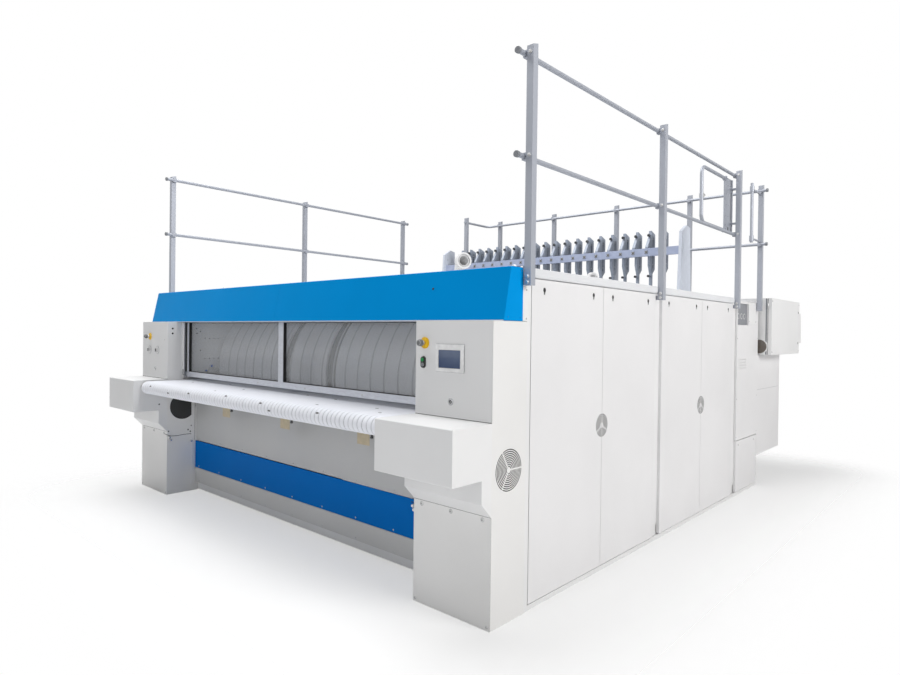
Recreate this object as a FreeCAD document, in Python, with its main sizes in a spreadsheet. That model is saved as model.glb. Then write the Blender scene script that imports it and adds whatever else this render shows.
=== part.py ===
import FreeCAD, Part
import math
import os
import Sketcher

# Flatwork ironer with two chest-heated rolls, built around the centre of its footprint.
# X runs across the machine (positive on the operator's right), Y from the feeding side to
# the delivery side, Z up from the floor.  All lengths are millimetres.

Vector = FreeCAD.Vector
Rotation = FreeCAD.Rotation
Placement = FreeCAD.Placement

doc = FreeCAD.newDocument("FlatworkIroner")
sheet = doc.addObject("Spreadsheet::Sheet", "Dims")

# Driving dimensions.  Places across the machine are measured from its middle plane, and
# places along it from the front of the pedestals.
DIMENSIONS = {
    "centre": -31.0,            # middle plane of the machine in the part's frame
    "front": -2455.5,           # front of the pedestals in the part's frame
    "width": 4060.0,
    "pedestal_width": 520.0,
    "pedestal_depth": 274.0,
    "control_bottom": 990.0,
    "control_top": 1480.0,
    "inlet_reach": 280.0,
    "inlet_bottom": 730.0,
    "overhang": 72.0,
    "overhang_bottom": 618.0,
    "overhang_foot": 543.0,
    "roof_top": 1750.0,
    "roof_thickness": 15.0,
    "sheet_metal": 3.0,
    "fascia_rake": 55.0,
    "fascia_foot": 80.0,
    "fascia_back": 235.0,
    "roll_radius": 607.0,
    "roll_length": 2980.0,
    "roll_height": 1085.0,
    "roll_one": 1055.0,
    "roll_pitch": 1575.0,
    "journal_radius": 60.0,
    "chest_gap": 2.5,
    "chest_thickness": 50.0,
    "chest_wrap": 160.0,
    "panel_bottom": 35.0,
    "panel_top": 1700.0,
    "panel_depth": 20.0,
    "panel_one": 310.0,
    "seam_one": 1055.0,
    "panel_two_end": 1780.0,
    "panel_three": 1885.0,
    "seam_two": 2630.0,
    "panel_four_end": 3345.0,
    "rear_start": 3460.0,
    "rear_end": 4060.0,
    "outlet_end": 4800.0,
    "belt_height": 982.0,
    "belt_radius": 52.0,
    "belt_thickness": 3.6,
    "nose_place": -172.0,
    "feed_place": 345.0,
    "window_place": 143.0,
    "window_depth": 25.0,
    "window_bottom": 1012.0,
    "window_top": 1500.0,
    "post_side": 40.0,
    "post_offset": 28.0,
    "post_foot": 1660.0,
    "side_post_top": 2864.0,
    "rear_post_top": 2850.0,
    "rail_radius": 13.5,
    "side_top_rail": 2818.0,
    "side_mid_rail": 2306.0,
    "rear_top_rail": 2785.0,
    "rear_mid_rail": 2284.0,
    "beam_place": 3480.0,
    "beam_bottom": 2192.0,
    "beam_height": 76.0,
    "arm_pitch": 137.0,
    "cabinet_start": 4100.0,
    "cabinet_length": 1000.0,
    "cabinet_bottom": 1245.0,
    "cabinet_height": 540.0,
    "cabinet_outer": 2105.0,
    "cabinet_depth": 300.0,
    "grille_radius": 104.0,
    "small_grille_radius": 68.0,
}

ARM_COUNT = 20
RIBBON_COUNT = 79


class Size:
    """A length that carries its value and the spreadsheet formula that gives it."""

    def __init__(self, value, formula):
        self.value = value
        self.formula = formula

    def __add__(self, other):
        return Size(self.value + value_of(other), f"({self.formula} + {formula_of(other)})")

    def __radd__(self, other):
        return Size(value_of(other) + self.value, f"({formula_of(other)} + {self.formula})")

    def __sub__(self, other):
        return Size(self.value - value_of(other), f"({self.formula} - {formula_of(other)})")

    def __rsub__(self, other):
        return Size(value_of(other) - self.value, f"({formula_of(other)} - {self.formula})")

    def __mul__(self, other):
        return Size(self.value * value_of(other), f"({self.formula} * {formula_of(other)})")

    __rmul__ = __mul__

    def __truediv__(self, other):
        return Size(self.value / value_of(other), f"({self.formula} / {formula_of(other)})")

    def __neg__(self):
        return Size(-self.value, f"(-1 * {self.formula})")


def value_of(size):
    return size.value if isinstance(size, Size) else float(size)


def formula_of(size):
    return size.formula if isinstance(size, Size) else f"({float(size)})"


for row, (alias, length) in enumerate(DIMENSIONS.items(), start=1):
    sheet.set(f"A{row}", alias)
    sheet.set(f"B{row}", str(length))
    sheet.setAlias(f"B{row}", alias)
doc.recompute()


def dim(alias):
    return Size(DIMENSIONS[alias], f"Dims.{alias}")


def bind(obj, prop, size):
    """Tie one property to its formula on the sheet."""
    obj.setExpression(prop, formula_of(size))


# Frequently used places.
half = dim("width") / 2
inner = half - dim("pedestal_width")
roll_two = dim("roll_one") + dim("roll_pitch")
belt_axis_height = dim("belt_height") - dim("belt_radius")
window_back = dim("window_place") + dim("window_depth")
post_place = half + dim("post_offset")
rail_place = post_place - dim("post_side") / 2 - dim("rail_radius") - 2
RIGHT_POSTS = (250.0, 1810.0, 3370.0)
LEFT_POSTS = (270.0, 1745.0, 3245.0)
REAR_POSTS = (1384.0, 574.0, -236.0, -1046.0)
REAR_RAIL_POSTS_PLACE = 4000.0
CORNER_POST = (-1216.0, 3537.0)
RIM_START, RIM_END = 310.0, 3340.0

AXIS_TURN = {
    "x": Rotation(Vector(0, 1, 0), 90),
    "y": Rotation(Vector(1, 0, 0), -90),
    "z": Rotation(),
}


def locate(obj, x, y, z, rotation=None):
    """Place an object at a point measured from the middle plane, the front and the floor."""
    obj.Placement = Placement(Vector(), rotation or Rotation())
    bind(obj, "Placement.Base.x", dim("centre") + x)
    bind(obj, "Placement.Base.y", dim("front") + y)
    bind(obj, "Placement.Base.z", z)
    return obj


def box(x0, x1, y0, y1, z0, z1):
    """A block given by its two limits along each axis."""
    block = doc.addObject("Part::Box", "Block")
    bind(block, "Length", x1 - x0)
    bind(block, "Width", y1 - y0)
    bind(block, "Height", z1 - z0)
    return locate(block, x0, y0, z0)


def rod(axis, x, y, z, radius, length):
    """A round bar that starts at a point and runs along one axis."""
    bar = doc.addObject("Part::Cylinder", "Rod")
    bind(bar, "Radius", radius)
    bind(bar, "Height", length)
    return locate(bar, x, y, z, AXIS_TURN[axis])


def fuse(*pieces):
    joined = doc.addObject("Part::MultiFuse", "Fusion")
    joined.Shapes = list(pieces)
    joined.Refine = True
    return joined


def cut(base, *tools):
    result = doc.addObject("Part::Cut", "Cut")
    result.Base = base
    result.Tool = tools[0] if len(tools) == 1 else fuse(*tools)
    result.Refine = True
    return result


SUB_PARTS = []


def name(label, obj):
    """Give a finished sub-part its name."""
    obj.Label = label
    SUB_PARTS.append(obj)
    return obj


def mirror(source):
    """The same piece on the other side of the middle plane."""
    twin = doc.addObject("Part::Mirroring", "Twin")
    twin.Source = source
    twin.Normal = Vector(1, 0, 0)
    bind(twin, "Base.x", dim("centre"))
    return twin


def both_sides(label, obj):
    """A piece on the right and its mirror image on the left."""
    name(label + "_right", obj)
    name(label + "_left", mirror(obj))


def new_body(label):
    return doc.addObject("PartDesign::Body", label + "_body")


def plane_of(body, role):
    return next(f for f in body.Origin.OriginFeatures if f.Role == role)


def sketch_on(body, role, offset=0.0):
    """A sketch on one of the body's own planes, moved along the plane's normal."""
    sketch = body.newObject("Sketcher::SketchObject", "Outline")
    sketch.AttachmentSupport = [(plane_of(body, role), "")]
    sketch.MapMode = "FlatFace"
    bind(sketch, "AttachmentOffset.Base.z", offset)
    return sketch


def pin(sketch, geometry, vertex, point):
    """Hold one vertex of a sketch at sheet-driven distances from the sketch's origin."""
    for kind, size in (("DistanceX", point[0]), ("DistanceY", point[1])):
        if not isinstance(size, Size) and float(size) == 0.0:
            axis = -2 if kind == "DistanceX" else -1
            sketch.addConstraint(Sketcher.Constraint("PointOnObject", geometry, vertex, axis))
            continue
        constraint = Sketcher.Constraint(kind, -1, 1, geometry, vertex, value_of(size))
        number = sketch.addConstraint(constraint)
        if isinstance(size, Size):
            sketch.setExpression(f"Constraints[{number}]", size.formula)


def polygon(sketch, points):
    """A closed outline of straight edges whose corners follow the sheet."""
    first = sketch.GeometryCount
    corners = [Vector(value_of(u), value_of(v), 0) for u, v in points]
    for here, there in zip(corners, corners[1:] + corners[:1]):
        sketch.addGeometry(Part.LineSegment(here, there), False)
    for number in range(len(points)):
        following = first + (number + 1) % len(points)
        sketch.addConstraint(Sketcher.Constraint("Coincident", first + number, 2, following, 1))
    for number, point in enumerate(points):
        pin(sketch, first + number, 1, point)


def rectangle(sketch, u0, u1, v0, v1):
    polygon(sketch, [(u0, v0), (u1, v0), (u1, v1), (u0, v1)])


def circle(sketch, u, v, radius):
    number = sketch.addGeometry(
        Part.Circle(Vector(value_of(u), value_of(v), 0), Vector(0, 0, 1), value_of(radius)), False)
    pin(sketch, number, 3, (u, v))
    constraint = sketch.addConstraint(Sketcher.Constraint("Radius", number, value_of(radius)))
    if isinstance(radius, Size):
        sketch.setExpression(f"Constraints[{constraint}]", radius.formula)


def stadium(sketch, u0, u1, radius):
    """A closed outline of two half circles on the horizontal axis, joined by straight runs."""
    low, high, size = value_of(u0), value_of(u1), value_of(radius)
    quarter = math.radians(90)
    normal = Vector(0, 0, 1)
    first = sketch.addGeometry([
        Part.ArcOfCircle(Part.Circle(Vector(low, 0, 0), normal, size), quarter, 3 * quarter),
        Part.LineSegment(Vector(low, -size, 0), Vector(high, -size, 0)),
        Part.ArcOfCircle(Part.Circle(Vector(high, 0, 0), normal, size), -quarter, quarter),
        Part.LineSegment(Vector(high, size, 0), Vector(low, size, 0))], False)[0]
    low_arc, bottom, high_arc, top = range(first, first + 4)
    for joint in ((low_arc, 2, bottom, 1), (bottom, 2, high_arc, 1), (high_arc, 2, top, 1),
                  (top, 2, low_arc, 1)):
        sketch.addConstraint(Sketcher.Constraint("Tangent", *joint))
    pin(sketch, low_arc, 3, (u0, 0.0))
    pin(sketch, high_arc, 3, (u1, 0.0))
    number = sketch.addConstraint(Sketcher.Constraint("Radius", low_arc, size))
    sketch.setExpression(f"Constraints[{number}]", formula_of(radius))


def ring_sector(sketch, u, v, inside, outside, start, end):
    """A slot between two arcs about one centre, from one angle to another, in degrees."""
    angles = math.radians(start), math.radians(end)
    centre = Vector(u, v, 0)
    arcs = []
    for radius in (inside, outside):
        full = Part.Circle(centre, Vector(0, 0, 1), radius)
        arcs.append(Part.ArcOfCircle(full, *angles))
    sides = []
    for angle in angles:
        ray = Vector(math.cos(angle), math.sin(angle), 0)
        sides.append(Part.LineSegment(centre + ray * inside, centre + ray * outside))
    first = sketch.addGeometry(arcs + sides, False)[0]
    inner_arc, outer_arc, start_side, end_side = range(first, first + 4)
    for side, arc_end in ((start_side, 1), (end_side, 2)):
        sketch.addConstraint(Sketcher.Constraint("Coincident", inner_arc, arc_end, side, 1))
        sketch.addConstraint(Sketcher.Constraint("Coincident", outer_arc, arc_end, side, 2))


def pad(body, sketch, length, reverse=False):
    feature = body.newObject("PartDesign::Pad", "Pad")
    feature.Profile = sketch
    bind(feature, "Length", length)
    feature.Reversed = reverse
    return feature


def pocket(body, sketch, length, reverse=False):
    feature = body.newObject("PartDesign::Pocket", "Pocket")
    feature.Profile = sketch
    bind(feature, "Length", length)
    feature.Reversed = reverse
    return feature


def round_edges(body, base, radius, wanted):
    """Fillet the edges of a feature that a test picks out."""
    doc.recompute()
    edges = [f"Edge{n}" for n, edge in enumerate(base.Shape.Edges, start=1) if wanted(edge)]
    fillet = body.newObject("PartDesign::Fillet", "Rounding")
    fillet.Base = (base, edges)
    bind(fillet, "Radius", radius)
    return fillet


def runs_along(edge, axis):
    """True for a straight edge parallel to an axis."""
    if len(edge.Vertexes) != 2:
        return False
    run = edge.Vertexes[1].Point - edge.Vertexes[0].Point
    return abs(abs(run.dot(axis)) - run.Length) < 1e-6


def bent_tube(route, radius, bend):
    """A round bar along straight runs joined by arcs of one bend radius."""
    points = [Vector(*(value_of(c) for c in point)) for point in route]
    pieces = []
    start = points[0]
    for before, corner, after in zip(points, points[1:], points[2:]):
        into = (corner - before).normalize()
        out_of = (after - corner).normalize()
        turn = into.getAngle(out_of)
        back = bend * math.tan(turn / 2)
        arc_start = corner - into * back
        pieces.append(Part.makeCylinder(radius, (arc_start - start).Length, start, into))
        axis = into.cross(out_of)
        hub = arc_start + axis.cross(into).normalize() * bend
        disc = Part.Face(Part.Wire(Part.makeCircle(radius, arc_start, into)))
        pieces.append(disc.revolve(hub, axis, math.degrees(turn)))
        start = corner + out_of * back
    last = points[-1] - start
    pieces.append(Part.makeCylinder(radius, last.Length, start, last))
    tube = doc.addObject("Part::Feature", "Tube")
    tube.Shape = pieces[0].fuse(pieces[1:])
    tube.Placement = Placement(Vector(DIMENSIONS["centre"], DIMENSIONS["front"], 0), Rotation())
    return tube


# ---------------------------------------------------------------- frame and roof

def side_span(side, low, high):
    """Limits across the machine, mirrored for the left side."""
    return (low, high) if side == 1 else (-high, -low)


def main_frame():
    """Base rails, cross beams, corner posts and roof rails of the housing."""
    deck = dim("roof_top") - dim("roof_thickness")
    start, end = dim("pedestal_depth") + 1, dim("rear_end") - 5
    bays = (("panel_two_end", "panel_three"), ("panel_four_end", "rear_start"))
    pieces = []
    for side in (-1, 1):
        def bar(low, high, y0, y1, z0, z1):
            pieces.append(box(*side_span(side, low, high), y0, y1, z0, z1))
        bar(half - 90, half - 6, start, end, 0.0, 26.0)
        bar(half - 90, half - 26, start, end, 25.0, 110.0)
        bar(half - 70, half - 20, start, end, 1702.0, deck)
        bar(half - 70, half - 2, start, 308.0, 0.0, deck)
        bar(half - 70, half - 2, dim("fascia_back"), 308.0, dim("control_top") + 2, deck)
        bar(half - 70, half - 20, start, 335.0, 20.0, deck)
        for low, high in bays:
            bar(half - 70, half - 20, dim(low) - 20, dim(high) + 20, 100.0, deck)
        bar(half - 70, half - 20, end - 65, end, 100.0, deck)
        bar(870.0, 930.0, start, end, 10.0, 100.0)
    for place in (start, dim("panel_two_end") + 22, dim("panel_four_end") + 30, end - 65):
        pieces.append(box(-half + 80, half - 80, place, place + 65, 10.0, 100.0))
    pieces.append(box(-half + 60, half - 60, dim("fascia_back"), 300.0, 1640.0, deck))
    pieces.append(box(-half + 60, half - 60, end - 65, end, 1660.0, deck))
    name("main_frame", fuse(*pieces))


def side_frame():
    """Upright bearing plate beside the roll ends, with a window guide on its front edge."""
    body = new_body("side_frame")
    locate(body, inner + 2, 0.0, 0.0)
    outline = sketch_on(body, "YZ_Plane")
    back = dim("rear_end") - 72
    polygon(outline, [(300.0, 100.0), (back, 100.0), (back, 1560.0), (back - 140, 1700.0),
                      (400.0, 1700.0), (310.0, 1620.0), (181.0, 1500.0), (181.0, 1690.0),
                      (134.0, 1690.0), (134.0, 992.0), (277.0, 992.0), (277.0, 870.0)])
    plate = pad(body, outline, 15.0)
    guide = sketch_on(body, "YZ_Plane", 0.0)
    rectangle(guide, 134.0, 140.0, 992.0, 1690.0)
    rectangle(guide, 172.0, 181.0, 992.0, 1690.0)
    pad(body, guide, 14.0, reverse=True)
    bearing = sketch_on(body, "YZ_Plane", 15.0)
    for place in (dim("roll_one"), roll_two):
        circle(bearing, place, dim("roll_height"), 130.0)
    pad(body, bearing, 58.0)
    bores = sketch_on(body, "YZ_Plane", 73.0)
    for place in (dim("roll_one"), roll_two):
        circle(bores, place, dim("roll_height"), dim("journal_radius") + 0.05)
    pocket(body, bores, 80.0)
    openings = sketch_on(body, "YZ_Plane", 15.0)
    middle = (dim("roll_one") + roll_two) / 2
    circle(openings, middle, 620.0, 260.0)
    circle(openings, middle, 1300.0, 170.0)
    circle(openings, roll_two + 850, 620.0, 200.0)
    circle(openings, dim("feed_place"), belt_axis_height, 12.05)
    pocket(body, openings, 20.0)
    both_sides("side_frame", body)


def rounded_rim(x_outer, y0, y1):
    """One length of the rolled edge along the roof."""
    body = new_body("rim")
    locate(body, 0.0, y0, 0.0)
    outline = sketch_on(body, "XZ_Plane")
    bottom, top = dim("roof_top") - 46, dim("roof_top") + 4
    rectangle(outline, x_outer - 34, x_outer, bottom, top)
    bar = pad(body, outline, y1 - y0, reverse=True)
    edge_place = value_of(x_outer)
    round_edges(body, bar, 14.0,
                lambda edge: runs_along(edge, Vector(0, 1, 0))
                and abs(edge.Vertexes[0].X - edge_place) < 1e-6)
    return body


def roof_panel():
    """Walk-on roof with rolled rims and a slot for the tails of the tape tensioners."""
    bottom = dim("roof_top") - dim("roof_thickness")
    deck = box(-half + 14, half - 14, dim("fascia_back"), dim("rear_end") - 2, bottom,
               dim("roof_top"))
    low, high = CORNER_POST[0] - 30, CORNER_POST[0] + 30
    slots = [box(x0, x1, 3520.0, 3660.0, bottom - 10, dim("roof_top") + 10)
             for x0, x1 in ((-1470.0, low), (high, 1470.0))]
    rims = []
    for posts in (RIGHT_POSTS, LEFT_POSTS):
        middle, last = posts[1:]
        for start, end in ((RIM_START, middle - 30), (middle + 30, min(last - 30, RIM_END))):
            rim = rounded_rim(half + 14, start, end)
            rims.append(rim if posts is RIGHT_POSTS else mirror(rim))
    name("roof_panel", fuse(cut(deck, *slots), *rims))


def segmented_duct(points, radius):
    """Round duct of straight lengths with mitred joints, as sheet-metal elbows are made."""
    centre_line = Part.makePolygon(points)
    ring = Part.Wire(Part.makeCircle(radius, points[0], points[1] - points[0]))
    mitred = 1
    return centre_line.makePipeShell([ring], True, False, mitred)


OUTLET_TURN = 65.0


def vapour_outlet(number, x, y, mouth_height, bore):
    """Vapour duct on the roof: a riser that turns level, with a stepped collar at its mouth.

    The place given is the middle of the mouth, which looks forward and to the right.
    """
    foot = value_of(dim("roof_top"))
    radius = bore + 4.0
    reach = radius * 2.1
    bend = radius * 1.35
    collar_radius, collar_length = bore * 1.7, bore * 1.1
    seat_radius, seat_depth = bore * 1.36, bore * 0.3
    joints = 4
    route = [Vector(0, -reach + 5, mouth_height)]
    for joint in range(joints):
        angle = math.radians(90) * joint / (joints - 1)
        route.append(Vector(0, -bend * (1 - math.sin(angle)),
                            mouth_height - bend * (1 - math.cos(angle))))
    route.append(Vector(0, 0, foot))
    turn = Rotation(Vector(0, 0, 1), OUTLET_TURN)
    facing = turn.multVec(Vector(0, -1, 0))
    riser_x, riser_y = x - facing.x * reach, y - facing.y * reach
    elbow = doc.addObject("Part::Feature", "Duct")
    elbow.Shape = segmented_duct(route, radius).cut(segmented_duct(route, bore))
    locate(elbow, riser_x, riser_y, 0.0, turn)

    def turned_rod(inset, size, length):
        bar = rod("y", x - facing.x * inset, y - facing.y * inset, mouth_height, size, length)
        bar.Placement.Rotation = turn.multiply(AXIS_TURN["y"])
        return bar

    collar = cut(turned_rod(0.0, collar_radius, collar_length),
                 turned_rod(-1.0, bore, collar_length + 2),
                 turned_rod(-1.0, seat_radius, seat_depth + 1))
    plate = cut(rod("z", riser_x, riser_y, foot, radius + 30, 5.0),
                rod("z", riser_x, riser_y, foot - 1, bore, 10.0))
    name(f"vapour_outlet_{number}", fuse(elbow, collar, plate))


# ---------------------------------------------------------------- feeding side

def fascia():
    """Raked front panel in two halves that meet on the middle plane."""
    body = new_body("fascia")
    locate(body, 0.5, 0.0, 0.0)
    outline = sketch_on(body, "YZ_Plane")
    foot = dim("control_top") + 2
    lean = dim("fascia_foot") + dim("fascia_rake")
    polygon(outline, [(dim("fascia_foot"), foot), (lean, dim("roof_top")),
                      (dim("fascia_back"), dim("roof_top")), (dim("fascia_back"), foot)])
    shell = pad(body, outline, half - 0.5)
    round_edges(body, shell, 6.0,
                lambda edge: runs_along(edge, Vector(1, 0, 0))
                and edge.Vertexes[0].Y < value_of(lean) + 1
                and edge.Vertexes[0].Z > value_of(foot) + 1)
    hollow = sketch_on(body, "YZ_Plane", half - 4.5)
    polygon(hollow, [(dim("fascia_foot") + 28, foot - 1), (dim("fascia_foot") + 28, foot + 4),
                     (dim("fascia_foot") + 5, foot + 4), (lean + 4, dim("roof_top") - 4),
                     (dim("fascia_back") + 1, dim("roof_top") - 4),
                     (dim("fascia_back") + 1, foot - 1)])
    pocket(body, hollow, half + 10)
    both_sides("fascia", body)


def pedestal():
    """Foot, control housing and tall outer sheet of one side, with the round cooling grille."""
    body = new_body("pedestal")
    locate(body, inner, 0.0, 0.0)
    block = sketch_on(body, "YZ_Plane")
    polygon(block, [(0.0, 0.0), (dim("pedestal_depth"), 0.0),
                    (dim("pedestal_depth"), dim("control_bottom")), (0.0, dim("control_bottom"))])
    pad(body, block, dim("pedestal_width"))
    skin = sketch_on(body, "YZ_Plane", dim("pedestal_width") - dim("sheet_metal"))
    rectangle(skin, 0.0, dim("pedestal_depth"), dim("control_bottom") - 5, dim("control_top"))
    pad(body, skin, dim("sheet_metal"))
    # The control housing above the foot is open to the front and notched for the window guide.
    bottom, top = dim("control_bottom"), dim("control_top")
    depth, notch = dim("fascia_back") - 2, 132.0
    width = dim("pedestal_width") - 1
    housing = sketch_on(body, "XY_Plane", bottom - 1)
    polygon(housing, [(0.0, 3.0), (width, 3.0), (width, depth), (50.0, depth), (50.0, notch),
                      (0.0, notch)])
    pad(body, housing, top - bottom + 1)
    cavity = sketch_on(body, "XY_Plane", top - 4)
    polygon(cavity, [(4.0, 2.0), (width - 3, 2.0), (width - 3, depth - 4), (54.0, depth - 4),
                     (54.0, notch - 4), (4.0, notch - 4)])
    pocket(body, cavity, top - bottom - 8)
    grille_y, grille_z = 135.0, 750.0
    chamber = sketch_on(body, "YZ_Plane", dim("pedestal_width") - dim("sheet_metal"))
    circle(chamber, grille_y, grille_z, dim("grille_radius") + 4)
    pocket(body, chamber, 60.0)
    # Nine concentric slots, cut as one third of a turn and repeated twice more.
    slots = sketch_on(body, "YZ_Plane", dim("pedestal_width") + 1)
    slots.AttachmentOffset = Placement(Vector(grille_y, grille_z, 0), Rotation())
    bind(slots, "AttachmentOffset.Base.z", dim("pedestal_width") + 1)
    ring_count = 9
    slot_width = 5.0
    hub_radius = 16.0
    half_spoke = 3.5
    ring_pitch = (DIMENSIONS["grille_radius"] - slot_width - hub_radius) / (ring_count - 1)
    for ring in range(ring_count):
        inside = hub_radius + ring * ring_pitch
        spoke = math.degrees(half_spoke / inside)
        ring_sector(slots, 0.0, 0.0, inside, inside + slot_width, spoke, 120.0 - spoke)
    third = pocket(body, slots, dim("sheet_metal") + 2)
    doc.recompute()
    turn = body.newObject("PartDesign::PolarPattern", "Grille")
    turn.Originals = [third]
    turn.Axis = (slots, ["N_Axis"])
    turn.Angle = 360
    turn.Occurrences = 3
    body.Tip = turn
    both_sides("pedestal", body)


def inlet_cover():
    """Cover in front of the pedestal that closes the end of the feed table."""
    body = new_body("inlet_cover")
    locate(body, inner, 0.0, 0.0)
    outline = sketch_on(body, "YZ_Plane")
    polygon(outline, [(0.0, dim("control_bottom")), (-dim("inlet_reach"), dim("control_bottom")),
                      (-dim("inlet_reach"), dim("inlet_bottom")),
                      (-dim("overhang"), dim("inlet_bottom")),
                      (-dim("overhang"), dim("overhang_bottom")), (0.0, dim("overhang_foot"))])
    shell = pad(body, outline, dim("pedestal_width"))
    front_edge = -DIMENSIONS["inlet_reach"]
    round_edges(body, shell, 5.0,
                lambda edge: runs_along(edge, Vector(1, 0, 0))
                and abs(edge.Vertexes[0].Y - front_edge) < 1e-6)
    bore = sketch_on(body, "YZ_Plane")
    circle(bore, dim("nose_place"), belt_axis_height, 12.05)
    pocket(body, bore, 14.0, reverse=True)
    both_sides("inlet_cover", body)


ESTOP_PLACES = {"right": (1578.0, 1365.0), "left": (-1873.0, 1353.0)}
SELECTOR_PLACES = (-1881.0, -1720.0)
SELECTOR_HEIGHT = 1234.0
HMI = (1661.0, 1851.0, 1221.0, 1361.0)
PUSH_PLACE = (1569.0, 1264.0)


def control_door(side):
    """Front plate of a control box, cut out for what is mounted on it."""
    left, right = (inner + 1, half - 3.5) if side == "right" else (-half + 3.5, -inner - 1)
    plate = box(left, right, 0.0, dim("sheet_metal"), dim("control_bottom") + 3,
                dim("control_top") - 2)
    stop_x, stop_z = ESTOP_PLACES[side]
    holes = [rod("y", stop_x, -5.0, stop_z, 11.3, 20.0)]
    if side == "right":
        x0, x1, z0, z1 = HMI
        holes.append(box(x0 + 6, x1 - 6, -5.0, 10.0, z0 + 6, z1 - 6))
        holes.append(rod("y", PUSH_PLACE[0], -5.0, PUSH_PLACE[1], 11.0, 20.0))
    else:
        discs = [rod("y", x, -1.6, SELECTOR_HEIGHT, 34.0, 2.0) for x in SELECTOR_PLACES]
        plate = fuse(plate, *discs)
        holes += [rod("y", x, -5.0, SELECTOR_HEIGHT, 8.3, 20.0) for x in SELECTOR_PLACES]
    name("control_door_" + side, cut(plate, *holes))


def operator_panel():
    """Touch screen: a bezel on the plate with its housing behind it."""
    x0, x1, z0, z1 = HMI
    bezel = box(x0, x1, -7.0, 0.0, z0, z1)
    window = box(x0 + 20, x1 - 22, -8.0, -5.0, z0 + 19, z1 - 29)
    housing = box(x0 + 7, x1 - 7, -1.0, 42.0, z0 + 7, z1 - 7)
    name("operator_panel", fuse(cut(bezel, window), housing))


def emergency_stop(side):
    """Collar on the plate and the mushroom head that slides through it."""
    x, z = ESTOP_PLACES[side]
    collar = cut(rod("y", x, -4.0, z, 30.0, 4.0), rod("y", x, -6.0, z, 11.3, 10.0))
    name("stop_collar_" + side, collar)
    body = new_body("stop_head")
    locate(body, x, 0.0, z)
    profile = sketch_on(body, "XY_Plane")
    polygon(profile, [(0.0, 12.0), (11.0, 12.0), (11.0, -26.0), (18.0, -30.0), (18.0, -44.0),
                      (14.0, -50.0), (0.0, -52.0)])
    turned = body.newObject("PartDesign::Revolution", "Mushroom")
    turned.Profile = profile
    turned.ReferenceAxis = (profile, ["V_Axis"])
    turned.Angle = 360
    name("stop_head_" + side, body)


def push_switch():
    """Double push switch: an oval body with one round button above the other."""
    x, z = PUSH_PLACE
    body = new_body("push_switch")
    locate(body, x, 0.0, z)
    outline = sketch_on(body, "XZ_Plane")
    rectangle(outline, -15.0, 15.0, -29.0, 29.0)
    block = pad(body, outline, 9.0)
    round_edges(body, block, 14.0, lambda edge: runs_along(edge, Vector(0, 1, 0)))
    bores = sketch_on(body, "XZ_Plane", 10.0)
    circle(bores, 0.0, 13.0, 9.8)
    circle(bores, 0.0, -13.0, 9.8)
    pocket(body, bores, 12.0)
    name("push_switch", body)
    name("start_button", rod("y", x, -13.0, z + 13, 9.5, 9.0))
    name("stop_button", rod("y", x, -12.0, z - 13, 9.5, 8.0))


def selector(number, x):
    """Rotary selector: a round knob with a grip bar, on a spindle through the plate."""
    knob = rod("y", x, -12.0, SELECTOR_HEIGHT, 14.0, 10.2)
    grip = box(x - 3.5, x + 3.5, -22.0, -11.0, SELECTOR_HEIGHT - 13, SELECTOR_HEIGHT + 13)
    spindle = rod("y", x, -2.0, SELECTOR_HEIGHT, 8.0, 18.0)
    name(f"selector_{number}", fuse(knob, grip, spindle))


TABLE_BRACKETS = (-1400.0, -648.0, 163.0, 999.0)


def lower_front():
    """Grey sheet with table brackets, the coloured tray below it and the kick plate."""
    back = 262.0
    low, high = 441.0, 866.0
    face = 95.0
    pieces = [box(-inner, inner, back - 5, back, low, high),
              box(-inner, inner, 205.0, back, high - 4, high)]
    for x in TABLE_BRACKETS:
        pieces.append(box(x - 60, x + 60, face, 206.0, high - 3, high))
        pieces.append(box(x - 60, x + 60, face, face + 3, high - 55, high))
        pieces.append(box(x + 54, x + 58, face, back - 4, high - 55, high - 2))
    name("front_sheet", fuse(*pieces))
    for label, front, bottom, top in (("coloured_panel", 250.0, 203.0, 436.0),
                                      ("kick_plate", 254.0, 72.0, 199.0)):
        tray = cut(box(-inner, inner, front, back, bottom, top),
                   box(-inner + 3, inner - 3, front + 3, back + 1, bottom + 3, top - 3))
        name(label, tray)


def table_roller(label, place, end):
    """Roller of the feed table with a step down to its journals."""
    body = new_body(label)
    locate(body, 0.0, place, belt_axis_height)
    profile = sketch_on(body, "XZ_Plane")
    barrel = dim("belt_radius") - dim("belt_thickness") - 0.3
    face = inner - 18
    polygon(profile, [(-end, 0.0), (-end, 12.0), (-face, 12.0), (-face, barrel), (face, barrel),
                      (face, 12.0), (end, 12.0), (end, 0.0)])
    turned = body.newObject("PartDesign::Revolution", "Barrel")
    turned.Profile = profile
    turned.ReferenceAxis = (profile, ["H_Axis"])
    turned.Angle = 360
    name(label, body)


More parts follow.
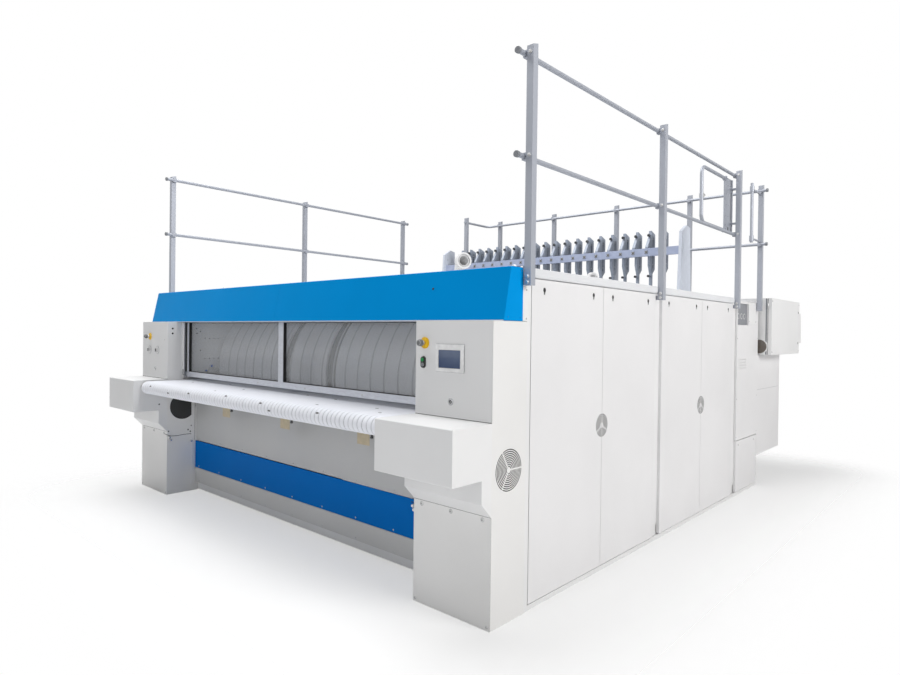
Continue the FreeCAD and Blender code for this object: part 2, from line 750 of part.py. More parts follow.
def feed_belt():
    """Endless cover around the two table rollers, grooved between its many narrow ribbons."""
    body = new_body("feed_belt")
    reach = inner - 20
    nose, tail, outside = dim("nose_place"), dim("feed_place"), dim("belt_radius")
    locate(body, -reach, 0.0, belt_axis_height)
    loop = sketch_on(body, "YZ_Plane")
    stadium(loop, nose, tail, outside)
    stadium(loop, nose, tail, outside - dim("belt_thickness"))
    pad(body, loop, reach * 2)
    pitch = reach * 2 / RIBBON_COUNT
    gap, depth = 5.0, 1.2
    band = sketch_on(body, "YZ_Plane", pitch + gap / 2)
    stadium(band, nose, tail, outside + 1)
    stadium(band, nose, tail, outside - depth)
    first_groove = pocket(body, band, gap)
    doc.recompute()
    grooves = body.newObject("PartDesign::LinearPattern", "Grooves")
    grooves.Originals = [first_groove]
    grooves.Direction = (band, ["N_Axis"])
    bind(grooves, "Length", pitch * (RIBBON_COUNT - 2))
    grooves.Occurrences = RIBBON_COUNT - 1
    body.Tip = grooves
    name("feed_belt", body)


def table_bed():
    """Slider plate under the upper run of the belt, with a tab at each end."""
    top = belt_axis_height + dim("belt_radius") - dim("belt_thickness") - 0.5
    plate = box(-inner + 22, inner - 22, -110.0, 285.0, top - 18, top)
    ribs = [box(x - 6, x + 6, -90.0, 265.0, top - 55, top - 17)
            for x in (-1100.0, -550.0, 0.0, 550.0, 1100.0)]
    tabs = box(-inner, inner, 30.0, 120.0, top - 18, top - 2)
    name("table_bed", fuse(plate, tabs, *ribs))


def window():
    """Sliding guard window: a frame with a middle bar and one pane behind it."""
    body = new_body("window_frame")
    locate(body, 0.0, dim("window_place"), 0.0)
    side = inner - 3.5
    outline = sketch_on(body, "XZ_Plane")
    rectangle(outline, -side, side, dim("window_bottom"), dim("window_top"))
    pad(body, outline, dim("window_depth"), reverse=True)
    panes = sketch_on(body, "XZ_Plane", 1.0)
    low, high = dim("window_bottom") + 42, dim("window_top") - 24
    rectangle(panes, -side + 30, -31.0, low, high)
    rectangle(panes, 31.0, side - 30, low, high)
    pocket(body, panes, dim("window_depth") + 2)
    name("window_frame", body)
    pane = box(-side + 14, side - 14, window_back, window_back + 4, dim("window_bottom") + 30,
               dim("window_top") - 10)
    name("window_glass", pane)


# ---------------------------------------------------------------- rolls and chests

def roll(label, place):
    """Padded roll: closed drum with recessed ends and a journal at each end."""
    body = new_body(label)
    locate(body, 0.0, place, dim("roll_height"))
    profile = sketch_on(body, "XZ_Plane")
    end = dim("roll_length") / 2
    neck = dim("journal_radius")
    rim = dim("roll_radius") - 27
    floor_of_recess = end - 60
    short_end, long_end = end + 100, end + 215
    polygon(profile, [(-long_end, 0.0), (-long_end, neck), (-floor_of_recess, neck),
                      (-floor_of_recess, rim), (-end, rim), (-end, dim("roll_radius")),
                      (end, dim("roll_radius")), (end, rim), (floor_of_recess, rim),
                      (floor_of_recess, neck), (short_end, neck), (short_end, 0.0)])
    turned = body.newObject("PartDesign::Revolution", "Drum")
    turned.Profile = profile
    turned.ReferenceAxis = (profile, ["H_Axis"])
    turned.Angle = 360
    name(label, body)


def chest(label, place):
    """Heated bed wrapped round the lower half of a roll, on two cradle plates."""
    body = new_body(label)
    length = dim("roll_length")
    locate(body, -length / 2, place, dim("roll_height"))
    section = sketch_on(body, "YZ_Plane")
    inside = DIMENSIONS["roll_radius"] + DIMENSIONS["chest_gap"]
    outside = inside + DIMENSIONS["chest_thickness"]
    margin = (180.0 - DIMENSIONS["chest_wrap"]) / 2
    ring_sector(section, 0.0, 0.0, inside, outside, 180.0 + margin, 360.0 - margin)
    pad(body, section, length)
    cradles = []
    for x in (-900.0, 900.0):
        plate = box(x - 10, x + 10, place - 460, place + 460, 100.0, dim("roll_height") - 330)
        cradles.append(cut(plate, rod("x", x - 20, place, dim("roll_height"), outside - 2, 40.0)))
    name(label, fuse(body, *cradles))


def chest_bridge():
    """Arched plate that carries the linen from one chest to the next."""
    body = new_body("chest_bridge")
    locate(body, -inner - 2, 0.0, 0.0)
    outline = sketch_on(body, "YZ_Plane")
    start = dim("roll_one") + 655
    end = roll_two - 655
    top = dim("roll_height") - 100
    polygon(outline, [(start, top - 40), (start, top - 12), (start + 70, top), (end - 70, top),
                      (end, top - 12), (end, top - 40), (end - 12, top - 40),
                      (end - 12, top - 20), (start + 12, top - 20), (start + 12, top - 40)])
    pad(body, outline, inner * 2 + 4)
    name("chest_bridge", body)


def roll_drive(label, place):
    """Shaft-mounted gearbox with its motor, held by a torque arm, outside the left plate."""
    x1 = -inner - 90
    x0 = x1 - 100
    z = dim("roll_height")
    case = cut(fuse(box(x0, x1, place - 120, place + 120, z - 250, z + 110),
                    rod("x", x0 - 12, place, z, 85.0, 120.0)),
               rod("x", x0 - 30, place, z, dim("journal_radius") + 0.05, 200.0))
    motor = rod("z", (x0 + x1) / 2, place, z - 620, 88.0, 372.0)
    cap = rod("z", (x0 + x1) / 2, place, z - 650, 96.0, 60.0)
    arm = box(x1 - 60, -inner - 17, place - 25, place + 25, z - 245, z - 195)
    name(label, fuse(case, motor, cap, arm))


# ---------------------------------------------------------------- side panels

LOCK_INSET = 115.0


def side_panel(number, y0, y1, seam_side):
    """Lift-off tray with two keyhole locks and half of the round grille on its seam."""
    body = new_body(f"side_panel_{number}")
    locate(body, half - dim("panel_depth"), 0.0, 0.0)
    depth = dim("panel_depth")
    outline = sketch_on(body, "YZ_Plane")
    left, right = y0 + 1.5, y1 - 1.5
    rectangle(outline, left, right, dim("panel_bottom"), dim("panel_top"))
    pad(body, outline, depth)
    hollow = sketch_on(body, "YZ_Plane")
    rectangle(hollow, left + 2, right - 2, dim("panel_bottom") + 2, dim("panel_top") - 2)
    pocket(body, hollow, depth - 2, reverse=True)
    # Keyhole: a round eye above a straight slot, two to a panel.
    locks = sketch_on(body, "YZ_Plane", depth + 1)
    lock_height = dim("panel_top") - 52
    eye_radius, shank_width, shank_drop = 13.0, 13.0, 24.0
    for place in (left + LOCK_INSET, right - LOCK_INSET):
        circle(locks, place, lock_height, eye_radius)
    pocket(body, locks, 5.0)
    shanks = sketch_on(body, "YZ_Plane", depth + 1)
    for place in (left + LOCK_INSET, right - LOCK_INSET):
        rectangle(shanks, place - shank_width / 2, place + shank_width / 2,
                  lock_height - shank_drop, lock_height - 2)
    pocket(body, shanks, 5.0)
    # Half of the grille: slots from the seam at the top round to the lower spoke and on.
    seam = value_of(y1 if seam_side == "right" else y0)
    grille_height = 877.0
    ring_count, slot_width, hub_radius = 5, 5.5, 20.0
    ring_pitch = (DIMENSIONS["small_grille_radius"] - slot_width - hub_radius) / (ring_count - 1)
    slots = sketch_on(body, "YZ_Plane", depth + 1)
    for ring in range(ring_count):
        inside = hub_radius + ring * ring_pitch
        outside = inside + slot_width
        edge_gap = math.degrees(5.0 / inside)
        spoke_gap = math.degrees(3.0 / inside)
        if seam_side == "right":
            sectors = ((90 + edge_gap, 210 - spoke_gap), (210 + spoke_gap, 270 - edge_gap))
        else:
            sectors = ((-90 + edge_gap, -30 - spoke_gap), (-30 + spoke_gap, 90 - edge_gap))
        for start, end in sectors:
            ring_sector(slots, seam, grille_height, inside, outside, start, end)
    pocket(body, slots, 5.0)
    both_sides(f"side_panel_{number}", body)


def rear_door():
    """Small access door low on the rear section."""
    y0, y1 = dim("rear_start") + 12, dim("rear_end") - 8
    bottom, top = dim("panel_bottom"), 485.0
    outer = box(half - dim("panel_depth"), half, y0, y1, bottom, top)
    hollow = box(half - dim("panel_depth") - 1, half - 2, y0 + 2, y1 - 2, bottom + 2, top - 2)
    keys = [rod("x", half - 5, y, 447.0, 9.0, 10.0) for y in (y0 + 70, y1 - 70)]
    both_sides("rear_door", cut(outer, hollow, *keys))


# ---------------------------------------------------------------- rear section and outlet

def rear_housing():
    """Side skins of the rear section and the raised outlet housing behind it."""
    start, end, outlet = dim("rear_start"), dim("rear_end"), dim("outlet_end")
    skins = []
    for side in (-1, 1):
        def bar(low, high, y0, y1, z0, z1):
            return box(*side_span(side, low, high), y0, y1, z0, z1)
        skin = bar(half - 18, half, start + 8, end, 492.0, 1734.0)
        recess = bar(half - 14, half + 1, start + 20, start + 310, 1520.0, 1715.0)
        louvres = [bar(half - 4, half + 1, start + 70, start + 260, z, z + 10)
                   for z in (1130.0, 1155.0, 1180.0, 1205.0)]
        skins.append(cut(skin, recess, *louvres))
    back = box(-half, half, end - 3, end, 287.0, 1734.0)
    mouth = box(-1480.0, 1480.0, end - 10, end + 10, 760.0, 1140.0)
    skins.append(cut(back, mouth))
    shell = box(-half, half, end, outlet, 287.0, 1240.0)
    hollow = box(-half + 3, half - 3, end - 1, outlet - 3, 290.0, 1237.0)
    slot = box(-1480.0, 1480.0, outlet - 20, outlet + 10, 900.0, 1140.0)
    skins.append(cut(shell, hollow, slot))
    for side in (-1, 1):
        low, high = side_span(side, inner, inner + 12)
        cheek = box(low, high, end, outlet - 3, 288.0, 1239.0)
        skins.append(cut(cheek, rod("x", low - 10, outlet - 90, 905.0, 12.05, 40.0)))
    name("rear_housing", fuse(*skins))


def delivery_roller():
    """Roller in the outlet that passes the ironed linen on."""
    core = rod("x", -inner + 8, dim("outlet_end") - 90, 905.0, 45.0, inner * 2 - 16)
    shaft = rod("x", -inner - 12, dim("outlet_end") - 90, 905.0, 12.0, inner * 2 + 24)
    name("delivery_roller", fuse(core, shaft))


def electrical_cabinet():
    """Wall cabinet on the outlet housing, with a round air filter, a hood and a door."""
    x1 = dim("cabinet_outer")
    x0 = x1 - dim("cabinet_depth")
    y0 = dim("cabinet_start")
    y1 = y0 + dim("cabinet_length")
    z0 = dim("cabinet_bottom")
    z1 = z0 + dim("cabinet_height")
    shell = cut(box(x0, x1, y0, y1, z0, z1), box(x0 + 4, x1 + 1, y0 + 4, y1 - 4, z0 + 4, z1 - 4))
    filter_ring = rod("y", half + 5, y0 - 8, z0 + 78, 73.0, 9.0)
    foot = box(x0 + 20, half - 20, y0 + 30, dim("outlet_end") - 40, 1240.0, z0 + 1)
    name("electrical_cabinet", fuse(shell, filter_ring, foot))

    # The hood stands on a thin backing and reaches out past the shell, clear of the door.
    backing = 4.0
    hood_inner, hood_outer = x1 - 177, x1 + 33
    hood_bottom, hood_height = z0 + 110, 316.0
    hood = new_body("hood")
    locate(hood, hood_inner, y1 + backing, hood_bottom)
    outline = sketch_on(hood, "YZ_Plane")
    polygon(outline, [(0.0, 0.0), (87.0, 0.0), (71.0, hood_height - 46),
                      (51.0, hood_height), (0.0, hood_height)])
    pad(hood, outline, hood_outer - hood_inner)
    spacer = box(hood_inner, x1, y1, y1 + backing + 1, hood_bottom, hood_bottom + hood_height)
    name("cabinet_hood", fuse(hood, spacer))

    front, outside = x1 + 3, x1 + 35
    door = cut(box(front, outside, y0, y1, z0, z1),
               box(front - 1, outside - 3, y0 + 4, y1 - 4, z0 + 4, z1 - 4))
    name("cabinet_door", door)


# ---------------------------------------------------------------- guard rails

def post(x, y, foot, top):
    """Square guard-rail post with a slanted top."""
    reach = dim("post_side") / 2
    body = new_body("post")
    locate(body, x - reach, y, 0.0)
    outline = sketch_on(body, "YZ_Plane")
    polygon(outline, [(-reach, foot), (reach, foot), (reach, top), (-reach, top - 12)])
    pad(body, outline, dim("post_side"))
    return body


def rail_cap(axis, x, y, z):
    """Slightly wider plug on the end of a rail."""
    return rod(axis, x, y, z, dim("rail_radius") + 3, 14.0)


def side_rail(posts, foot):
    """Guard rail of one long side: posts outside the skin, rails on their inner faces."""
    pieces = []
    heights = dim("side_mid_rail"), dim("side_top_rail")
    for number, y in enumerate(posts):
        # A spacer bolts the foot to the frame, at the front to the frame's outer strip.
        inside, height = (half - 2, dim("post_foot")) if number == 0 else (half - 20, foot)
        pieces.append(post(post_place, y, height, dim("side_post_top")))
        pieces.append(box(inside, post_place, y - 13, y + 13, height + 2, height + 30))
        for z in heights:
            pieces.append(box(rail_place - 12, post_place, y - 16, y + 16, z - 18, z + 18))
    start, end = posts[0] - 72, posts[2] + 45
    for z in heights:
        pieces.append(rod("y", rail_place, start, z, dim("rail_radius"), end - start))
        pieces.append(rail_cap("y", rail_place, start - 8, z))
        pieces.append(rail_cap("y", rail_place, end - 6, z))
    return pieces


def guard_rail_left():
    """Left guard rail, whose rear posts stand on the roof's edge, above the side panels."""
    above_panels = dim("panel_top") + 4
    name("guard_rail_left", mirror(fuse(*side_rail(LEFT_POSTS, above_panels))))


GATE_AXIS = (1985.0, 3400.0)
GATE_LUGS = (2400.0, 2700.0)
LUG_HEIGHT = 12.0
STILE_RADIUS = 10.0


def guard_rail_right():
    """Right guard rail with two lugs on its rear post for the gate."""
    pieces = side_rail(RIGHT_POSTS, dim("post_foot"))
    x, y = GATE_AXIS
    for z in GATE_LUGS:
        lug = box(x - 13, post_place - 15, y - 25, y + 14, z, z + LUG_HEIGHT)
        pieces.append(cut(lug, rod("z", x, y, z - 1, STILE_RADIUS + 0.05, LUG_HEIGHT + 2)))
    name("guard_rail_right", fuse(*pieces))


def guard_rail_rear():
    """Rear guard rail, its return on the left and a grab handle beside the access gap."""
    place = REAR_RAIL_POSTS_PLACE
    rail = place - value_of(dim("post_side") / 2 + dim("rail_radius") + 2)
    side_x = value_of(post_place)
    corner_x, corner_y = CORNER_POST
    top = dim("rear_post_top")
    foot = dim("post_foot")
    pieces = [post(side_x, place, foot, top),
              box(half, post_place, place - 13, place + 13, foot + 4, foot + 40)]
    for x, y in [(x, place) for x in REAR_POSTS] + [CORNER_POST]:
        pieces.append(post(x, y, dim("roof_top"), top))
        spread = 28 if y == corner_y else 45
        pieces.append(box(x - spread, x + spread, y - 40, y + 40, dim("roof_top"),
                          dim("roof_top") + 8))
    end_x = side_x + 60
    for height in (dim("rear_mid_rail"), dim("rear_top_rail")):
        z = value_of(height)
        for x in (side_x, *REAR_POSTS):
            pieces.append(box(x - 16, x + 16, rail - 12, place, z - 18, z + 18))
        route = [(corner_x, corner_y - 35, z), (corner_x, rail, z), (end_x, rail, z)]
        pieces.append(bent_tube(route, DIMENSIONS["rail_radius"], 60.0))
        pieces.append(rail_cap("x", end_x - 6, rail, z))
    handle = place - 275
    pieces.append(rod("z", side_x, handle, 2275.0, dim("rail_radius"), 540.0))
    for z in (2312.0, 2760.0):
        pieces.append(rod("z", side_x, handle, z - 25, 19.0, 50.0))
        pieces.append(rod("y", side_x, handle, z, 9.0, place - handle))
    name("guard_rail_rear", fuse(*pieces))


def safety_gate():
    """Walkway gate: a hoop of bent tube on a drilled plate that turns on an upright stile."""
    x, y = GATE_AXIS
    bottom, top = 2330.0, 2776.0
    tip, plate_start, plate_end = y - 700, y - 190, y - 36
    inside_plate = plate_start + 40
    hoop = bent_tube([(x, inside_plate, top), (x, tip, top), (x, tip, bottom),
                      (x, inside_plate, bottom)], 14.0, 60.0)
    body = new_body("gate_plate")
    locate(body, x, 0.0, 0.0)
    outline = sketch_on(body, "YZ_Plane", -3.0)
    low_lug, high_lug = GATE_LUGS
    clear = 20.0
    polygon(outline, [(plate_start, bottom - 10), (y, bottom - 10), (y, low_lug - clear),
                      (plate_end, low_lug - clear), (plate_end, low_lug + LUG_HEIGHT + clear),
                      (y, low_lug + LUG_HEIGHT + clear), (y, high_lug - clear),
                      (plate_end, high_lug - clear), (plate_end, high_lug + LUG_HEIGHT + clear),
                      (y, high_lug + LUG_HEIGHT + clear), (y, top + 12), (plate_start, top + 12)])
    pad(body, outline, 6.0)
    holes = sketch_on(body, "YZ_Plane", 4.0)
    for height in (2380.0, 2460.0, 2553.0, 2646.0, 2726.0):
        for place in (plate_start + 45, plate_start + 100):
            circle(holes, place, height, 6.0)
    pocket(body, holes, 10.0)
    stile = rod("z", x, y, bottom - 10, STILE_RADIUS, top - bottom + 22)
    name("safety_gate", fuse(hoop, body, stile))


# ---------------------------------------------------------------- tape tensioners

def tension_arm(x):
    """One arm: slanted head, gusset that hooks over the beam, taper and square tail."""
    body = new_body("tension_arm")
    locate(body, x - 14, 0.0, 0.0)
    beam_top = dim("beam_bottom") + dim("beam_height")
    front, back = 3545.0, 3650.0
    outline = sketch_on(body, "YZ_Plane")
    polygon(outline, [(3566.0, 2450.0), (3562.0, 2410.0), (3484.0, beam_top + 14),
                      (3484.0, beam_top - 1), (3512.0, beam_top - 1), (3512.0, 2205.0),
                      (front, 2205.0), (front, 2109.0),
                      (3580.0, 2031.0), (3580.0, 1715.0), (3600.0, 1715.0), (3600.0, 2026.0),
                      (back, 2074.0), (back, 2419.0)])
    pad(body, outline, 28.0)
    groove = sketch_on(body, "YZ_Plane", 29.0)
    rectangle(groove, 3594.0, 3612.0, 2085.0, 2385.0)
    pocket(body, groove, 24.0)
    knobs = sketch_on(body, "XZ_Plane", -3570.0)
    circle(knobs, 14.0, 2402.0, 13.0)
    pad(body, knobs, 46.0)
    low_knob = sketch_on(body, "XZ_Plane", -3585.0)
    circle(low_knob, 14.0, 2001.0, 11.0)
    pad(body, low_knob, 62.0)
    return body


def tape_tensioners():
    """Cross beam with its row of tape-tensioning arms, between two tapered end plates."""
    body = new_body("beam_end")
    locate(body, 1500.0, 0.0, 0.0)
    outline = sketch_on(body, "YZ_Plane")
    base = dim("roof_top")
    polygon(outline, [(3412.0, base), (3680.0, base), (3640.0, base + 700), (3560.0, base + 715),
                      (3455.0, base + 650)])
    pad(body, outline, 30.0)
    beam = box(-1502.0, 1502.0, dim("beam_place"), dim("beam_place") + 34, dim("beam_bottom"),
               dim("beam_bottom") + dim("beam_height"))
    first = -dim("arm_pitch") * (ARM_COUNT - 1) / 2
    arms = [tension_arm(first + dim("arm_pitch") * number) for number in range(ARM_COUNT)]
    name("tension_beam", fuse(body, mirror(body), beam, *arms))


# ---------------------------------------------------------------- assembly

main_frame()
side_frame()
roof_panel()
vapour_outlet(1, 93.0, 2000.0, 2083.0, 44.0)
vapour_outlet(2, 1072.0, 2630.0, 1920.0, 30.0)
fascia()
pedestal()
inlet_cover()
for hand in ("right", "left"):
    control_door(hand)
    emergency_stop(hand)
operator_panel()
push_switch()
for order, place_x in enumerate(SELECTOR_PLACES, start=1):
    selector(order, place_x)
lower_front()
table_roller("nose_roller", dim("nose_place"), inner + 10)
table_roller("feed_roller", dim("feed_place"), inner + 15)
feed_belt()
table_bed()
window()
for roll_name, roll_place in (("front", dim("roll_one")), ("rear", roll_two)):
    roll("roll_" + roll_name, roll_place)
    chest("chest_" + roll_name, roll_place)
    roll_drive("roll_drive_" + roll_name, roll_place)
chest_bridge()
side_panel(1, dim("panel_one"), dim("seam_one"), "right")
side_panel(2, dim("seam_one"), dim("panel_two_end"), "left")
side_panel(3, dim("panel_three"), dim("seam_two"), "right")
side_panel(4, dim("seam_two"), dim("panel_four_end"), "left")
rear_door()
rear_housing()
delivery_roller()
electrical_cabinet()
guard_rail_left()
guard_rail_right()
guard_rail_rear()
safety_gate()
tape_tensioners()

doc.recompute()
for obj in doc.Objects:
    if "Invalid" in obj.State or "Error" in obj.State:
        raise RuntimeError(f"{obj.Name} ({obj.Label}) failed: {obj.State}")
os.makedirs("parts", exist_ok=True)
for obj in SUB_PARTS:
    shape = obj.Shape
    if shape.isNull() or not shape.isValid():
        raise RuntimeError(f"{obj.Label} has no valid shape")
    shape.exportStep(os.path.join("parts", obj.Label + ".step"))
    bounds = shape.BoundBox
    print(f"{obj.Label:20s} solids {len(shape.Solids)} volume {shape.Volume / 1e6:9.2f}"
          f" x {bounds.XMin:8.1f} {bounds.XMax:8.1f} y {bounds.YMin:8.1f} {bounds.YMax:8.1f}"
          f" z {bounds.ZMin:7.1f} {bounds.ZMax:7.1f}")
print(len(SUB_PARTS), "sub-parts")
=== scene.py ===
"""Looks of a flatwork ironer: materials for its sheet metal and details for what it carries.

Places are written in building millimetres, as on the machine's own drawings: x from the middle
plane, y from the front of the pedestals, z from the floor.
"""

import math
import random

import bmesh
import bpy
from mathutils import Matrix, Vector


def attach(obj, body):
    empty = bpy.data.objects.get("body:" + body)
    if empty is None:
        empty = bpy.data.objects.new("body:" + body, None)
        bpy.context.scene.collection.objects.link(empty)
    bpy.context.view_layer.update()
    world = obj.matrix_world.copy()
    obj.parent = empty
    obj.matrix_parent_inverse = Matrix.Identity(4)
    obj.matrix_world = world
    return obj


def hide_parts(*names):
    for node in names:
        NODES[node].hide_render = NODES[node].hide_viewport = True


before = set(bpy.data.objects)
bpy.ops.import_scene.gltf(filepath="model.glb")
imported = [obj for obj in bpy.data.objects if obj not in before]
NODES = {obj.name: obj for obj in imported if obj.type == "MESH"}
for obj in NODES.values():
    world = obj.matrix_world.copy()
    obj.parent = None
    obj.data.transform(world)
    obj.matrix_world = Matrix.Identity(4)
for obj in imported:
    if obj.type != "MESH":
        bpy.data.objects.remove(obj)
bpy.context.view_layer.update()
CHANCE = random.Random(7)

# Where the middle plane and the pedestals' front lie in the row's frame, in millimetres.
CENTRE_X = -31.0
FRONT_Y = -2455.5

X = Vector((1, 0, 0))
Y = Vector((0, 1, 0))
Z = Vector((0, 0, 1))

# The housing's half width, and how far out its control boxes and pedestals begin.
HALF_WIDTH = 2030.0
INNER = 1510.0
ROLL_RADIUS = 607.0
ROLL_HEIGHT = 1085.0
ROLL_PLACES = {"front": 1055.0, "rear": 2630.0}
ROLL_END = 1490.0
BELT_AXIS = 930.0
BELT_RADIUS = 52.0
NOSE_Y = -172.0
FEED_Y = 345.0
RIBBON_COUNT = 79
RIBBON_REACH = 1490.0
RIBBON_PITCH = 2 * RIBBON_REACH / RIBBON_COUNT
RIBBON_GAP = 2.6
TAPE_PITCH = 137.0
TAPE_COUNT = 20
TAPE_WIDTH = 16.0
FIRST_TAPE = -TAPE_PITCH * (TAPE_COUNT - 1) / 2

# Round grilles: height and y of the small ones on the panel seams, (y, z) of the large ones.
GRILLE_HEIGHT = 877.0
GRILLE_PLACES = (1055.0, 2630.0)
PEDESTAL_GRILLE = (135.0, 750.0)

# Dust that settles on paint, the near black painted as shade inside a grille's slots, and the
# camera's sensor in mm.
DUST = (0.42, 0.40, 0.37)
GRILLE_PAINTED_SHADE = (0.03, 0.03, 0.03)
SENSOR_WIDTH = 36.0


def at(x, y, z):
    """A building place as a point of the row's frame, in metres."""
    return Vector((x + CENTRE_X, y + FRONT_Y, z)) / 1000


# ---------------------------------------------------------------- materials

class Finish:
    """A node material with helpers to build its colour, roughness and relief."""

    def __init__(self, name):
        self.material = bpy.data.materials.new(name)
        self.material.use_nodes = True
        self.tree = self.material.node_tree
        self.shader = self.tree.nodes["Principled BSDF"]
        self.place = self.add("ShaderNodeTexCoord").outputs["Object"]

    def add(self, kind, values=(), **settings):
        node = self.tree.nodes.new(kind)
        for key, value in settings.items():
            setattr(node, key, value)
        for key, value in dict(values).items():
            node.inputs[key].default_value = value
        return node

    def link(self, source, target):
        self.tree.links.new(source, target)

    def put(self, **values):
        """Constants on the shader's own sockets."""
        for key, value in values.items():
            self.shader.inputs[key.replace("_", " ")].default_value = value

    def noise(self, scale, detail=3.0, stretch=(1, 1, 1)):
        mapping = self.add("ShaderNodeMapping", {"Scale": stretch})
        self.link(self.place, mapping.inputs["Vector"])
        node = self.add("ShaderNodeTexNoise", {"Scale": scale, "Detail": detail})
        self.link(mapping.outputs["Vector"], node.inputs["Vector"])
        return node.outputs["Fac"]

    def ramp(self, factor, *stops):
        node = self.add("ShaderNodeValToRGB")
        elements = node.color_ramp.elements
        while len(elements) < len(stops):
            elements.new(0.5)
        for element, (place, colour) in zip(elements, stops):
            element.position = place
            element.color = (*colour, 1)
        self.link(factor, node.inputs["Fac"])
        return node.outputs["Color"]

    def math(self, operation, first, second=0.0, third=0.0):
        node = self.add("ShaderNodeMath", operation=operation)
        for socket, value in zip(node.inputs, (first, second, third)):
            if isinstance(value, (int, float)):
                socket.default_value = value
            else:
                self.link(value, socket)
        return node.outputs[0]

    def axis(self, letter):
        node = self.add("ShaderNodeSeparateXYZ")
        self.link(self.place, node.inputs[0])
        return node.outputs[letter]

    def between(self, value, low, high):
        """1 where the value lies between two limits, and 0 elsewhere."""
        above = self.math("GREATER_THAN", value, low)
        below = self.math("LESS_THAN", value, high)
        return self.math("MULTIPLY", above, below)

    def mix(self, factor, first, second):
        node = self.add("ShaderNodeMix", data_type="RGBA")
        for socket, value in ((node.inputs[0], factor), (node.inputs[6], first),
                              (node.inputs[7], second)):
            if isinstance(value, tuple):
                socket.default_value = (*value, 1)
            elif isinstance(value, (int, float)):
                socket.default_value = value
            else:
                self.link(value, socket)
        return node.outputs[2]

    def relief(self, height, depth, strength=1.0, edge=0.0):
        """Bump of a depth in metres over edges softened by a radius in metres."""
        bump = self.add("ShaderNodeBump", {"Distance": depth, "Strength": strength})
        self.link(height, bump.inputs["Height"])
        if edge:
            bevel = self.add("ShaderNodeBevel", {"Radius": edge}, samples=4)
            self.link(bevel.outputs["Normal"], bump.inputs["Normal"])
        self.link(bump.outputs["Normal"], self.shader.inputs["Normal"])

    def colour(self, source):
        self.link(source, self.shader.inputs["Base Color"])

    def roughness(self, source, low, high):
        node = self.add("ShaderNodeMapRange", {"To Min": low, "To Max": high})
        self.link(source, node.inputs["Value"])
        self.link(node.outputs["Result"], self.shader.inputs["Roughness"])


def circle(steps):
    """Angles in radians, evenly spread once round."""
    return [2 * math.pi * step / steps for step in range(steps)]


def scaled(colour, factor):
    return tuple(min(1.0, channel * factor) for channel in colour)


def painted_shade_in_grilles(finish, grilles):
    """1 where shade is painted: walls behind the outer skin within round grilles, as (y, z,
    radius).
    """
    off_centre = finish.math("ABSOLUTE", finish.math("SUBTRACT", finish.axis("X"), at(0, 0, 0).x))
    behind = finish.math("LESS_THAN", off_centre, (HALF_WIDTH - 0.2) / 1000)
    upright = finish.add("ShaderNodeVectorMath", {1: (0, 1, 1)}, operation="MULTIPLY")
    finish.link(finish.place, upright.inputs[0])
    share = 0.0
    for y, z, radius in grilles:
        middle = at(0, y, z)
        away = finish.add("ShaderNodeVectorMath", {1: (0, middle.y, middle.z)},
                          operation="DISTANCE")
        finish.link(upright.outputs[0], away.inputs[0])
        near = finish.math("LESS_THAN", away.outputs["Value"], radius / 1000)
        share = finish.math("MAXIMUM", near, share)
    return finish.math("MULTIPLY", behind, share)


def powder_coat(name, colour, gloss=0.42, dust=0.05, shine=0.5, grilles=()):
    """Baked paint: faint orange peel, slow tone changes and dust that gathers near the floor."""
    finish = Finish(name)
    cloud = finish.noise(1.7, 4.0)
    tone = finish.ramp(cloud, (0.3, scaled(colour, 0.97)), (0.7, scaled(colour, 1.02)))
    height = finish.axis("Z")
    low = finish.add("ShaderNodeMapRange", {"From Min": 0.0, "From Max": 0.3, "To Min": dust,
                                            "To Max": 0.0})
    finish.link(height, low.inputs["Value"])
    streaks = finish.math("MULTIPLY", low.outputs["Result"], finish.noise(14.0, 5.0))
    paint = finish.mix(streaks, tone, DUST)
    if grilles:
        # Painted shade: inside the listed grilles, the walls behind the skin are painted near
        # black.
        paint = finish.mix(painted_shade_in_grilles(finish, grilles), paint, GRILLE_PAINTED_SHADE)
    finish.colour(paint)
    finish.roughness(finish.noise(9.0, 4.0), gloss - 0.05, gloss + 0.07)
    finish.put(Specular_IOR_Level=shine)
    finish.relief(finish.noise(420.0, 2.0), 0.00012, 0.25, edge=0.0018)
    return finish.material


def metal(name, colour, rough=0.35, grain=(1, 1, 1), scale=60.0, depth=0.00004):
    """Bare or plated metal with a grain that can be stretched along one axis."""
    finish = Finish(name)
    grain_noise = finish.noise(scale, 5.0, grain)
    finish.colour(finish.ramp(grain_noise, (0.3, scaled(colour, 0.86)),
                              (0.7, scaled(colour, 1.08))))
    finish.put(Metallic=0.9)
    finish.roughness(finish.noise(scale * 0.3, 3.0, grain), rough - 0.06, rough + 0.1)
    finish.relief(grain_noise, depth, 0.4, edge=0.0012)
    return finish.material


def galvanised(name, colour):
    """Zinc-coated tube: small crystal patches of slightly different brightness."""
    finish = Finish(name)
    cells = finish.add("ShaderNodeTexVoronoi", {"Scale": 130.0})
    finish.link(finish.place, cells.inputs["Vector"])
    spangle = finish.ramp(cells.outputs["Color"], (0.0, scaled(colour, 0.96)), (1.0, colour))
    cloud = finish.noise(5.0, 4.0)
    finish.colour(finish.mix(finish.math("MULTIPLY", cloud, 0.5), spangle, scaled(colour, 0.95)))
    finish.put(Metallic=0.35)
    finish.roughness(cloud, 0.34, 0.5)
    finish.relief(cells.outputs["Distance"], 0.00005, 0.3, edge=0.001)
    return finish.material


def plastic(name, colour, rough=0.4):
    """Moulded plastic with a fine spark-eroded grain."""
    finish = Finish(name)
    grain = finish.noise(900.0, 2.0)
    patch = finish.noise(40.0, 3.0)
    finish.colour(finish.ramp(patch, (0.3, scaled(colour, 0.9)), (0.7, scaled(colour, 1.06))))
    finish.roughness(patch, rough - 0.06, rough + 0.06)
    finish.relief(grain, 0.00005, 0.3, edge=0.0006)
    return finish.material


